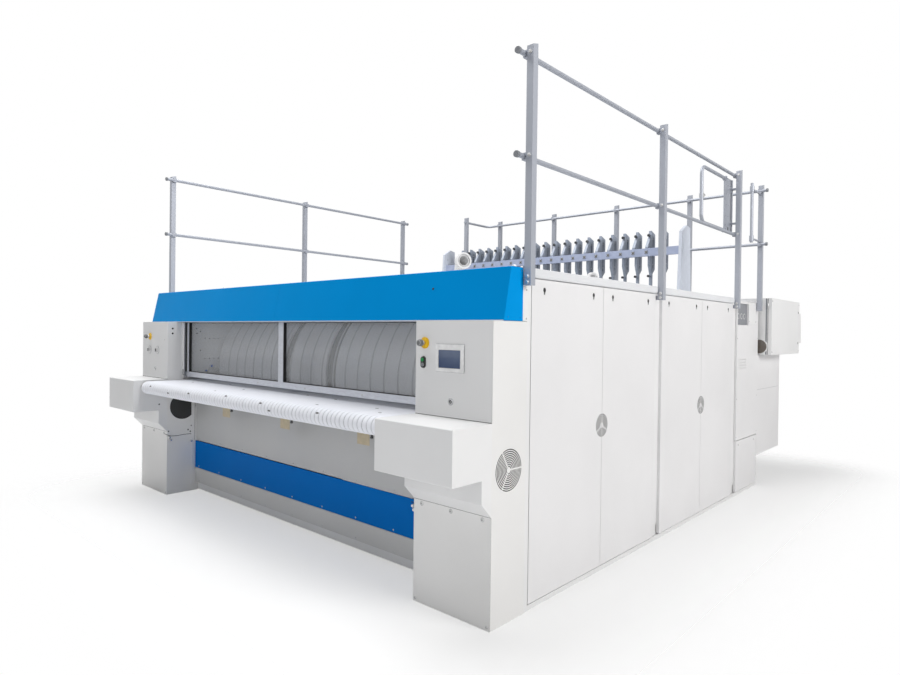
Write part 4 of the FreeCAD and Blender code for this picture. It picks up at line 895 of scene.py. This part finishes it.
def inner_side_details():
    """Painted shadow line under the flange's curved edge, a dark vertical line, the folded edge
    and knobs on the pedestals' inner sides.
    """
    shadow_and_edges = Piece("flange_shadow_and_edges")
    knobs = Piece("flange_knobs")
    for side in (-1, 1):
        face = side * (INNER - 0.1)
        # Painted shadow: a thin black strip along the flange's curved lower edge.
        top = [point(face, y, z + 2.2) for y, z in FLANGE_SHADOW_LINE]
        bottom = [point(face, y, z - 2.2) for y, z in reversed(FLANGE_SHADOW_LINE)]
        shadow_and_edges.plate(top + bottom, -X * side * 0.8, RUBBER)
        shadow_and_edges.block((face, 241, 445), (face - side * 0.8, 244.5, 864), RUBBER, 0.2)
        shadow_and_edges.block((face, 211, 60), (face - side * 3, 241, 862), WHITE, 0.8)
        for y, z in FLANGE_KNOBS:
            knobs.turned((face, y, z), -X * side, [(5, 0), (5, 12), (9, 13), (10, 16), (10, 24),
                                                   (8.5, 27), (4, 28)], POLISHED, 20)
        for y, z in FLANGE_SCREWS:
            screw(knobs, (face, y, z), -X * side, 4.6, DARK_STEEL, 2.4)
    shadow_and_edges.finish("housing")
    knobs.finish("housing")


TABLE_BRACKETS = (-648.0, 163.0, 999.0)


def under_table():
    """Clamps and screws of the belt table's brackets, and the screws of the sheets below."""
    clamps = Piece("table_clamps")
    for x in TABLE_BRACKETS:
        clamps.block((x - 80, 93, 742), (x + 34, 94.8, 864), BEIGE, 0.6)
        clamps.block((x + 44, 92, 788), (x + 51, 108, 864), DARK_STEEL, 1.5)
        clamps.block((x + 40, 90, 788), (x + 58, 106, 797), DARK_STEEL, 2.0)
        for shift in (-60, 14):
            screw(clamps, (x + shift, 95, 838), -Y, 5.0, height=2.0)
    clamps.finish("housing")
    screws = Piece("sheet_screws")
    for x in range(-1440, 1500, 360):
        screw(screws, (x, 257, 458), -Y, 4.5, height=1.8)
        screw(screws, (x, 257, 848), -Y, 4.5, height=1.8)
        screw(screws, (x, 250, 219), -Y, 4.0, height=1.6)
        screw(screws, (x, 254, 88), -Y, 4.0, height=1.6)
    screws.finish("housing")


def window_details():
    """Glazing seals, outer stiles, screws and the white covers of the side guides."""
    seals = Piece("window_seals")
    inside, outside = 1426.0, 1454.0
    z0, z1 = 1054.0, 1476.0
    for x0, x1 in ((-inside, -31.0), (31.0, inside)):
        for a, b, c, d in ((x0, x0 + 4, z0, z1), (x1 - 4, x1, z0, z1), (x0, x1, z0, z0 + 4),
                           (x0, x1, z1 - 4, z1)):
            seals.block((a, 146, c), (b, 167.6, d), RUBBER, 0.8)
    for hand in (-1, 1):
        seals.block((hand * inside, 141.5, z0 - 1), (hand * outside, 167.6, z1), WINDOW_METAL)
        seals.block((hand * outside, 142.2, z0 - 1), (hand * 1484, 144.5, z1), RUBBER, 0.5)
        for z in (1150.0, 1290.0, 1420.0):
            screw(seals, (hand * 1440, 141.5, z), -Y, 4.2, height=1.8)
    for x in (-1440, -900, -300, 300, 900, 1440):
        screw(seals, (x, 143, 1030), -Y, 4.2, height=1.8)
    seals.finish("window")
    guides = Piece("window_guide_covers")
    for hand in (-1, 1):
        guides.block((hand * 1484, 127.0, 1072), (hand * (INNER + 1), 133.8, 1478), WHITE)
        foot = [point(hand * 1512, 126.5, 1022), point(hand * 1482, 126.5, 1022),
                point(hand * 1472, 126.5, 1071), point(hand * 1512, 126.5, 1071)]
        guides.plate(foot, Y * 7, FRAME_GREY)
    guides.finish("housing")


# Drilled holes in the left bearing plate, as (y, z, radius).
PLATE_HOLES = ((251, 1426, 6), (287, 1402, 6), (255, 1384, 6), (289, 1233, 6), (330, 1340, 5),
               (372, 1340, 5), (414, 1340, 5), (456, 1340, 5), (330, 1160, 5), (372, 1160, 5),
               (414, 1160, 5), (456, 1160, 5))


def valve_on_side_plate():
    """Small air valve with push-in fittings, and holes, on the left bearing plate."""
    valve = Piece("air_valve")
    valve.block((-1512, 344, 1040), (-1480, 460, 1066), LIGHT_GREY, 2.0)
    valve.block((-1508, 366, 1066), (-1488, 410, 1082), LIGHT_GREY, 1.5)
    for y, direction in ((344.0, -Y), (460.0, Y)):
        valve.turned((-1496, y, 1053), direction, [(10, -2), (10, 8), (8, 11), (7, 17)],
                     BLUE_PLASTIC)
    valve.turned((-1496, 388, 1082), Z, [(10, 0), (10, 16), (8, 22), (3, 24)], BLUE_PLASTIC)
    for y, z, radius in PLATE_HOLES:
        valve.turned((-INNER - 2, y, z), X, [(radius, -0.5), (radius, 0.5), (radius - 1, 0.7)],
                     BLACK, 20)
    valve.turned((-INNER - 2, 185, 1260), X, [(7, -0.5), (7, 2), (5, 4), (2, 4.6)], POLISHED, 20)
    valve.finish("housing")


def fascia_details():
    """Light sealing lip along the fascia's foot, a hole plug and the screws on its ends."""
    trim = Piece("fascia_trim")
    trim.block((2 - HALF_WIDTH, 78.4, 1480.2), (HALF_WIDTH - 2, 80.6, 1484.8), WHITE, 0.6)
    lean = Vector((0, -268.0, 55.0)).normalized()
    share = (1655.0 - 1482.0) / 268.0
    trim.turned((1520, 80 + 55 * share, 1655), lean, [(6.5, -0.5), (6.5, 0.8), (5.2, 1.4)],
                RUBBER)
    for side in (-1, 1):
        for y, z in ((112.0, 1500.0), (215.0, 1500.0), (215.0, 1732.0)):
            screw(trim, (side * HALF_WIDTH, y, z), X * side, 4.0, BLUE, 1.5)
    trim.finish("housing")


# ---------------------------------------------------------------- sides and rear

# Side panels: number, ends, and the side on which half a grille is cut, 1 for the far end.
PANELS = ((1, 310.0, 1055.0, 1), (2, 1055.0, 1780.0, -1), (3, 1885.0, 2630.0, 1),
          (4, 2630.0, 3345.0, -1))


def panel_details():
    """Lock barrels behind the keyholes, stiffeners, and a black half disc behind the half grille
    of each side panel as painted shade.
    """
    for number, y0, y1, end in PANELS:
        for side, hand in ((1, "right"), (-1, "left")):
            fitting = Piece(f"panel_locks_{number}_{hand}")
            face = side * (HALF_WIDTH - 2)
            out = X * side
            for y in (y0 + 116.5, y1 - 116.5):
                fitting.turned((face, y, 1648), out, [(12.7, -9), (12.7, -0.4), (11.4, 0.7),
                                                      (8.6, 0.9), (8.2, -0.6), (1, -0.6)],
                               BLACK, 28)
                fitting.block(point(face, y - 6.3, 1624.4) - out * 7,
                              point(face, y + 6.3, 1646) - out, BLACK, 0.6)
            for z in (300.0, 1400.0):
                fitting.block(point(face, y0 + 30, z) - out * 9,
                              point(face, y1 - 30, z + 30) - out, FRAME_GREY)
            # Painted shade: a black half disc behind the half grille darkens its slots as shade
            # would.
            seam = y1 if end == 1 else y0
            arc = [math.radians(angle) for angle in range(-90, 91, 7)]
            shade_half_disc = [point(face, seam - end * (3.8 + 70 * math.cos(a)),
                         GRILLE_HEIGHT + 72 * math.sin(a)) for a in arc]
            fitting.plate([place - out * 2.2 for place in shade_half_disc], out * 1.4, RUBBER)
            fitting.finish(f"side_panel_{number}_{hand}")


def rear_section_details():
    """Hanging plate, recess fittings, louvre lips and door locks of the rear section."""
    plate = Piece("hanging_plate")
    face = HALF_WIDTH
    plate.block((face + 0.2, 3772, 1530), (face + 2.2, 3998, 1742), WHITE, 0.8)
    plate.block((face - 16, 3772, 1736), (face + 10, 3998, 1742), WHITE, 0.8)
    for y in (3790.0, 3980.0):
        screw(plate, (face + 2.2, y, 1556), X, 4.0, height=1.6)
    for side in (-1, 1):
        plate.block(point(side * (HALF_WIDTH - 13.9), 3482, 1522),
                    point(side * (HALF_WIDTH - 12.9), 3768, 1713), MID_GREY, 0.3)
    plate.finish("housing")
    lips = Piece("louvre_lips")
    for side in (-1, 1):
        for z in (1130.0, 1155.0, 1180.0, 1205.0):
            rows = []
            for reach, drop in ((-2.0, 10.5), (1.2, 10.0), (3.4, 6.5), (3.6, 3.5), (2.8, 3.3),
                                (0.2, 8.6)):
                x = side * (HALF_WIDTH + reach)
                rows.append([point(x, 3530 + 190 * share, z + drop)
                             for share in (0.0, 0.02, 0.5, 0.98, 1.0)])
            lips.grid(rows, SIDE_WHITE)
        for y in (3476.0, 4050.0):
            for z in (520.0, 860.0, 1400.0):
                screw(lips, (side * HALF_WIDTH, y, z), X * side, 3.6, height=1.4)
    lips.finish("housing")
    for hand, side in (("right", 1), ("left", -1)):
        locks = Piece("rear_door_locks_" + hand)
        for y in (3542.0, 3982.0):
            cylinder_lock(locks, point(side * (HALF_WIDTH - 3), y, 447), X * side, 8.8)
        locks.finish("rear_door_" + hand)
    gear = Piece("recess_valves")
    for side in (-1, 1):
        x = side * (HALF_WIDTH - 13.6)
        for y in (3530.0, 3610.0, 3690.0):
            gear.turned((x, y, 1600), X * side, [(26, 0), (26, 3), (22, 5), (21, 3.6), (3, 3.6)],
                        LIGHT_GREY, 40)
            gear.turned((x + side * 3.4, y, 1600), X * side, [(20, 0), (20, 0.5)], MID_GREY, 40)
            gear.block((x + side * 3.8, y - 1, 1598), (x + side * 4.6, y + 1, 1616), BLACK, 0.2)
    gear.finish("housing")


def cabinet_details():
    """Round filter, seams, locks, hinges and cable glands of the electrical cabinet."""
    x1, y0, z0 = 2105.0, 4100.0, 1245.0
    fan = Piece("cabinet_filter")
    centre = point(HALF_WIDTH + 5, y0 - 8, z0 + 78)
    fan.turned(centre, -Y, [(64, -1), (72, -1), (72, 2), (68, 4), (64, 3)], LIGHT_GREY, 56,
               hollow=True)
    fan.turned(centre, -Y, [(64.5, -1), (64.5, 1.6), (60, 2.2), (4, 2.4)], FILTER, 56)
    for radius in (52.0, 38.0, 24.0):
        fan.turned(centre, -Y, [(radius - 1.4, 1.8), (radius + 1.4, 1.8), (radius, 3.4)],
                   MID_GREY, 48, hollow=True)
    fan.finish("housing")
    door = Piece("cabinet_door_locks")
    for y, z in ((960, 110), (960, 430), (18, 28), (18, 512), (982, 28), (982, 512)):
        radius = 12.0 if y == 960 else 7.0
        disc = [(radius, -1), (radius, 0.3), (radius - 2, 0.6), (2, 0.6)]
        door.turned((x1 + 35, y0 + y, z0 + z), X, disc, DARK_STEEL, 28)
    door.finish("cabinet_door")
    hinges = Piece("cabinet_hinges")
    hinges.block((x1 - 19, y0 - 0.8, z0 + 2), (x1 - 7, y0 + 0.4, z0 + 538), MID_GREY, 0.3)
    hinges.block((x1 - 1, y0 - 0.8, z0 + 2), (x1 + 2.2, y0 + 0.4, z0 + 538), RUBBER, 0.3)
    for z in (z0 + 60, z0 + 440):
        hinges.turned((x1 + 1.5, y0 - 5, z), Z, [(4.6, 0), (5, 0.8), (5, 46), (4.6, 47)],
                      BRIGHT_SCREW, 20)
    for x in range(1870, 2060, 45):
        hinges.turned((x, 4150, z0 - 3.8), -Z, [(13, 0), (13, 0.6)], BLACK, 6)
    for x in (1970.0, 2030.0, 2090.0):
        for z in (1380.0, 1420.0, 1460.0):
            slope = 16.0 * (z - 1355) / 270
            hinges.turned((x, 5191 - slope, z), Y, [(8, -4), (8, 0.4), (5, 0.9)], RUBBER, 20)
    hinges.finish("housing")


def outlet_details():
    """Slot trim, light strip seals and the screws round the delivery opening."""
    trim = Piece("outlet_trim")
    y = 4800.0
    trim.block((-1484, y - 2, 1140), (1484, y - 0.2, 1146), RUBBER, 0.6)
    trim.block((-1484, y - 2, 892), (1484, y - 0.2, 899), RUBBER, 0.6)
    for side in (-1, 1):
        trim.block(point(side * (HALF_WIDTH - 0.6), 4062, 908.6),
                   point(side * (HALF_WIDTH + 0.3), y - 32, 911.4), FRAME_GREY, 0.2)
    for x in range(-1920, 2000, 320):
        for z in (320.0, 860.0, 1215.0):
            screw(trim, (x, y - 3, z), Y, 4.0, height=1.6)
    trim.finish("housing")


# ---------------------------------------------------------------- roof and rails

ROOF_TOP = 1750.0
DUCT_FACING = math.radians(65)
SIDE_POSTS = {"right": (250.0, 1810.0, 3370.0), "left": (270.0, 1745.0, 3245.0)}
REAR_POSTS = (1384.0, 574.0, -236.0, -1046.0)
SIDE_RAILS = (2306.0, 2818.0)
REAR_RAILS = (2284.0, 2785.0)
POST_X = 2058.0
# Profile of the plugs in the rails' ends.
CAP = [(17.0, -14), (17.2, 0.1), (15.4, 2.2), (6.0, 2.8)]


def rail_fittings():
    """Clamp bolts where rails meet posts, foot bolts and the rails' end caps."""
    for hand, side in (("right", 1), ("left", -1)):
        bolts = Piece("rail_bolts_" + hand)
        posts = SIDE_POSTS[hand]
        for number, y in enumerate(posts):
            foot = 1704.0 if hand == "left" and number else 1660.0
            for z in (*SIDE_RAILS, foot + 16, foot + 44):
                hex_bolt(bolts, (side * POST_X, y - 20, z), -Y, 8.0)
        for y, out in ((posts[0] - 80, -Y), (posts[2] + 53, Y)):
            for z in SIDE_RAILS:
                bolts.turned((side * 2022.5, y, z), out, CAP, MID_GREY, 32)
        bolts.finish("housing")
    rear = Piece("rail_bolts_rear")
    for x in (POST_X, *REAR_POSTS):
        for z in REAR_RAILS:
            hex_bolt(rear, (x, 4020, z), Y, 8.0)
    for x in REAR_POSTS:
        for dx in (-34, 34):
            for dy in (-30, 30):
                hex_bolt(rear, (x + dx, 4000 + dy, 1758), Z, 6.5, 6.0)
    for z in REAR_RAILS:
        rear.turned((POST_X + 68, 3964.5, z), X, CAP, MID_GREY, 32)
    rear.finish("housing")
    gate = Piece("gate_clamps")
    for z in (2330.0, 2776.0):
        gate.block((1968, 3216, z - 17), (2002, 3240, z + 17), RAIL, 3.0)
    gate.block((1966, 2694, 2522), (2004, 2722, 2558), LIGHT_GREY, 3.0)
    gate.turned((2004, 2708, 2540), X, [(7, 0), (7, 6), (5, 8)], BRIGHT_SCREW, 6)
    gate.block((1981.6, 3296, 2328), (1988.4, 3322, 2366), BLACK, 1.0)
    gate.finish("safety_gate")


def tensioner_fittings():
    """Fluted knobs, clamps on the beam and light strips in the slots of the tape arms."""
    fittings = Piece("tensioner_fittings")
    for number in range(TAPE_COUNT):
        x = FIRST_TAPE + TAPE_PITCH * number
        for y, z, radius in ((3524.0, 2402.0, 14.6), (3523.0, 2001.0, 12.4)):
            grip = [(radius * 0.7, -1.2), (radius, 1.5), (radius, 17.0), (radius * 0.85, 19.0),
                    (radius * 0.6, 19.5)]
            fittings.turned((x, y, z), Y, grip, BLACK, 14)
        fittings.block((x - 15, 3476.4, 2215), (x + 15, 3480.2, 2245), FRAME_GREY, 1.5)
        for turn in (45, 135):
            angle = math.radians(turn)
            ray = Vector((math.cos(angle), 0, math.sin(angle)))
            centre = point(x, 3476.4, 2230)
            fittings.tube([centre - ray * 19, centre + ray * 19], 3.2, DARK_STEEL, 8)
        hex_bolt(fittings, (x, 3476.4, 2230), -Y, 6.5, 7.0, DARK_STEEL)
        fittings.block((x - 10.2, 3595, 2087), (x - 7.5, 3611, 2383), LIGHT_GREY, 0.8)
        for z in (2370.0, 2120.0):
            fittings.turned((x, 3603, z), X, [(4.5, -15.4), (5.0, -14.8), (5.0, 14.8),
                                              (4.5, 15.4)], LIGHT_GREY, 16)
    for side in (-1, 1):
        for z in (1900.0, 2010.0, 2120.0, 2230.0, 2340.0):
            fittings.turned(point(side * 1500, 3500 + (z - 1900) * 0.02, z), -X * side,
                            [(6, -0.5), (6, 0.6), (4, 0.8)], MID_GREY, 16)
    fittings.finish("housing")


def duct_rings(name, x, y, mouth, bore):
    """Seam beads of a vapour duct's riser, and the rolled edge and seat ring of its mouth."""
    rings = Piece(name)
    facing = Vector((math.sin(DUCT_FACING), -math.cos(DUCT_FACING), 0))
    across = facing.cross(Z)
    radius = bore + 4.0
    centre = point(x, y, mouth)
    foot = centre - facing * radius * 2.1
    foot.z = ROOF_TOP + 18
    turn = [2 * math.pi * step / 48 for step in range(49)]
    for number in range(4):
        base = foot + Z * 22 * number
        if base.z < mouth - radius * 1.35 - 28:
            rings.tube([base + (X * math.cos(a) + Y * math.sin(a)) * (radius + 0.6) + Z * a * 3.5
                        for a in turn], 1.7, SIDE_WHITE, 6)
    for inset in (1.5, bore * 1.1 - 1.5):
        rings.tube([centre - facing * inset
                    + (across * math.cos(a) + Z * math.sin(a)) * (bore * 1.7 - 0.6)
                    for a in turn], 2.2, WHITE, 8)
    inner, outer = bore + 0.4, bore * 1.36 - 0.4
    rings.turned(centre - facing * bore * 0.3, facing,
                 [(inner, 0.1), (outer, 0.1), (outer, 1.4), (inner, 1.4)],
                 LIGHT_GREY, 56, hollow=True)
    for angle in circle(8):
        place = foot + (X * math.cos(angle) + Y * math.sin(angle)) * (radius + 17)
        place.z = ROOF_TOP + 5
        screw(rings, place, Z, 4.0, height=1.6)
    rings.finish("housing")


def roof_details():
    """Folded seams between the roof sheets, their rivets and lifting eyes."""
    seams = Piece("roof_seams")
    for y in (1000.0, 1800.0, 2600.0, 3400.0):
        seams.block((-1980, y - 9, 1749.5), (1980, y + 9, 1751.8), ROOF_WHITE, 0.8)
        for x in range(-1900, 1950, 380):
            seams.turned((x, y, 1751.7), Z, [(4, 0), (3.4, 1.2), (1.5, 1.7)], BRIGHT_SCREW, 12)
    for x in (-1700.0, 1700.0):
        for y in (600.0, 3000.0):
            seams.turned((x, y, 1750), Z, [(26, 0), (26, 6), (15, 9), (12, 20), (10, 22)],
                         BRIGHT_SCREW, 24)
            seams.tube([point(x + 22 * math.cos(a), y, 1790 + 22 * math.sin(a))
                        for a in (2 * math.pi * s / 32 for s in range(33))], 6.0, BRIGHT_SCREW, 10)
    seams.finish("housing")


# ---------------------------------------------------------------- inside

def drive_details():
    """Cooling fins, terminal boxes and flange bolts of both gear motors."""
    fins = Piece("motor_fins")
    x = -1650.0
    for place in ROLL_PLACES.values():
        for angle in circle(24):
            ray = Vector((math.cos(angle), math.sin(angle), 0))
            flow = Vector((-math.sin(angle), math.cos(angle), 0))
            base = point(x, place, 540) + ray * 87
            outline = [base - flow * 1.2, base + flow * 1.2, base + flow * 0.8 + ray * 11,
                       base - flow * 0.8 + ray * 11]
            fins.plate(outline, Z * 230, CAST)
        fins.block((x - 44, place + 84, 600), (x + 44, place + 128, 700), CAST, 4.0)
        for dy in (-95, 95):
            for dz in (-220, 80):
                hex_bolt(fins, (-1700, place + dy, ROLL_HEIGHT + dz), -X, 9.0)
    fins.finish("housing")


# ---------------------------------------------------------------- floor, light and camera

def studio_floor():
    """Pale floor that fades into the white behind it."""
    mesh = bpy.data.meshes.new("floor")
    reach = 26.0
    mesh.from_pydata([(-reach, -reach, 0), (reach, -reach, 0), (reach, reach, 0),
                      (-reach, reach, 0)], [], [(0, 1, 2, 3)])
    floor = bpy.data.objects.new("studio_floor", mesh)
    bpy.context.scene.collection.objects.link(floor)
    finish = Finish("studio_floor")
    finish.colour(finish.ramp(finish.noise(0.6, 3.0), (0.3, (0.975, 0.975, 0.975)),
                              (0.7, (0.985, 0.985, 0.985))))
    finish.put(Roughness=0.9, Specular_IOR_Level=0.1)
    outside = finish.place
    for operation, value in (("ABSOLUTE", None), ("SUBTRACT", (2.1, 2.73, 0.0)),
                             ("MAXIMUM", (0, 0, 0)), ("LENGTH", None)):
        node = finish.add("ShaderNodeVectorMath", {1: value} if value else (), operation=operation)
        finish.link(outside, node.inputs[0])
        outside = node.outputs["Value" if operation == "LENGTH" else "Vector"]
    fade = finish.add("ShaderNodeMapRange", {"From Min": 0.0, "From Max": 1.1, "To Min": -0.45,
                                             "To Max": -1.0}, interpolation_type="SMOOTHSTEP")
    finish.link(outside, fade.inputs["Value"])
    seen = finish.add("ShaderNodeLightPath").outputs["Is Camera Ray"]
    finish.link(finish.math("MULTIPLY_ADD", seen, fade.outputs["Result"], 1.0),
                finish.shader.inputs["Alpha"])
    mesh.materials.append(finish.material)


def white_surround():
    """World: white for the camera and in mirrors, softer as a source of light."""
    world = bpy.data.worlds.new("studio")
    world.use_nodes = True
    bpy.context.scene.world = world
    tree = world.node_tree
    tree.nodes.clear()
    output, mix, path = (tree.nodes.new(kind) for kind in (
        "ShaderNodeOutputWorld", "ShaderNodeMixShader", "ShaderNodeLightPath"))
    seen_by = path.outputs["Is Camera Ray"]
    for kind in ("Is Glossy Ray", "Is Transmission Ray"):
        either = tree.nodes.new("ShaderNodeMath")
        either.operation = "MAXIMUM"
        tree.links.new(seen_by, either.inputs[0])
        tree.links.new(path.outputs[kind], either.inputs[1])
        seen_by = either.outputs[0]
    tree.links.new(seen_by, mix.inputs[0])
    for socket, colour, strength in ((1, (0.93, 0.96, 1.0, 1), 0.05), (2, (1, 1, 1, 1), 1.0)):
        background = tree.nodes.new("ShaderNodeBackground")
        background.inputs["Color"].default_value = colour
        background.inputs["Strength"].default_value = strength
        tree.links.new(background.outputs[0], mix.inputs[socket])
    tree.links.new(mix.outputs[0], output.inputs["Surface"])


def area_light(name, place, target, size, power, colour):
    light = bpy.data.lights.new(name, "AREA")
    light.shape = "RECTANGLE"
    light.size, light.size_y = size
    light.energy = power
    light.color = colour
    holder = bpy.data.objects.new(name, light)
    holder.location = place
    direction = Vector(target) - Vector(place)
    holder.rotation_euler = direction.to_track_quat("-Z", "Y").to_euler()
    bpy.context.scene.collection.objects.link(holder)


def studio_lights():
    area_light("key_right", (11.5, -0.5, 6.0), (1.0, 0.0, 1.0), (5, 5), 790, (1.0, 0.99, 0.98))
    area_light("top", (-2.0, -2.0, 8.5), (0.3, 0.0, 0.0), (7, 7), 700, (1.0, 1.0, 1.0))
    area_light("fill_front", (3.5, -11.0, 4.5), (0.0, 0.0, 1.0), (6, 4), 200, (0.97, 0.98, 1.0))


def photo_camera():
    """Camera at the photograph's point of view, worked out from the machine's own edges."""
    focal, middle_x, middle_y = 622.86, 450.87, 336.90
    image_width, image_height = 900.0, 675.0
    yaw, pitch, roll = (math.radians(value) for value in (42.268, -0.402, 0.726))
    forward = Vector((-math.sin(yaw) * math.cos(pitch), math.cos(yaw) * math.cos(pitch),
                      math.sin(pitch)))
    level = Vector((math.cos(yaw), math.sin(yaw), 0))
    upright = level.cross(forward)
    right = level * math.cos(roll) + upright * math.sin(roll)
    up = upright * math.cos(roll) - level * math.sin(roll)
    lens = bpy.data.cameras.new("photo_view")
    lens.sensor_width = SENSOR_WIDTH
    lens.lens = focal * SENSOR_WIDTH / image_width
    lens.shift_x = (image_width / 2 - middle_x) / image_width
    lens.shift_y = (middle_y - image_height / 2) / image_width
    lens.clip_end = 200.0
    camera = bpy.data.objects.new("photo_view", lens)
    rotation = Matrix((right, up, -forward)).transposed().to_4x4()
    camera.matrix_world = Matrix.Translation((3.831, -4.7695, 1.42)) @ rotation
    bpy.context.scene.collection.objects.link(camera)
    bpy.context.scene.camera = camera


photo_camera()
white_surround()
studio_lights()
studio_floor()
paint_nodes()

feed_ribbons()
ribbon_hooks()
for roll_name in ROLL_PLACES:
    padded_roll(roll_name)
guide_tapes()

for hand in ("right", "left"):
    emergency_stop(hand)
rotary_selector(1, -1881.0)
rotary_selector(2, -1720.0)
double_push()
touch_screen()
control_box_details()
pedestal_details()
inner_side_details()
under_table()
window_details()
valve_on_side_plate()
fascia_details()
panel_details()
rear_section_details()
cabinet_details()
outlet_details()
rail_fittings()
tensioner_fittings()
duct_rings("duct_rings_1", 93.0, 2000.0, 2083.0, 44.0)
duct_rings("duct_rings_2", 1072.0, 2630.0, 1920.0, 30.0)
roof_details()
drive_details()

bpy.context.scene.view_settings.view_transform = "Standard"
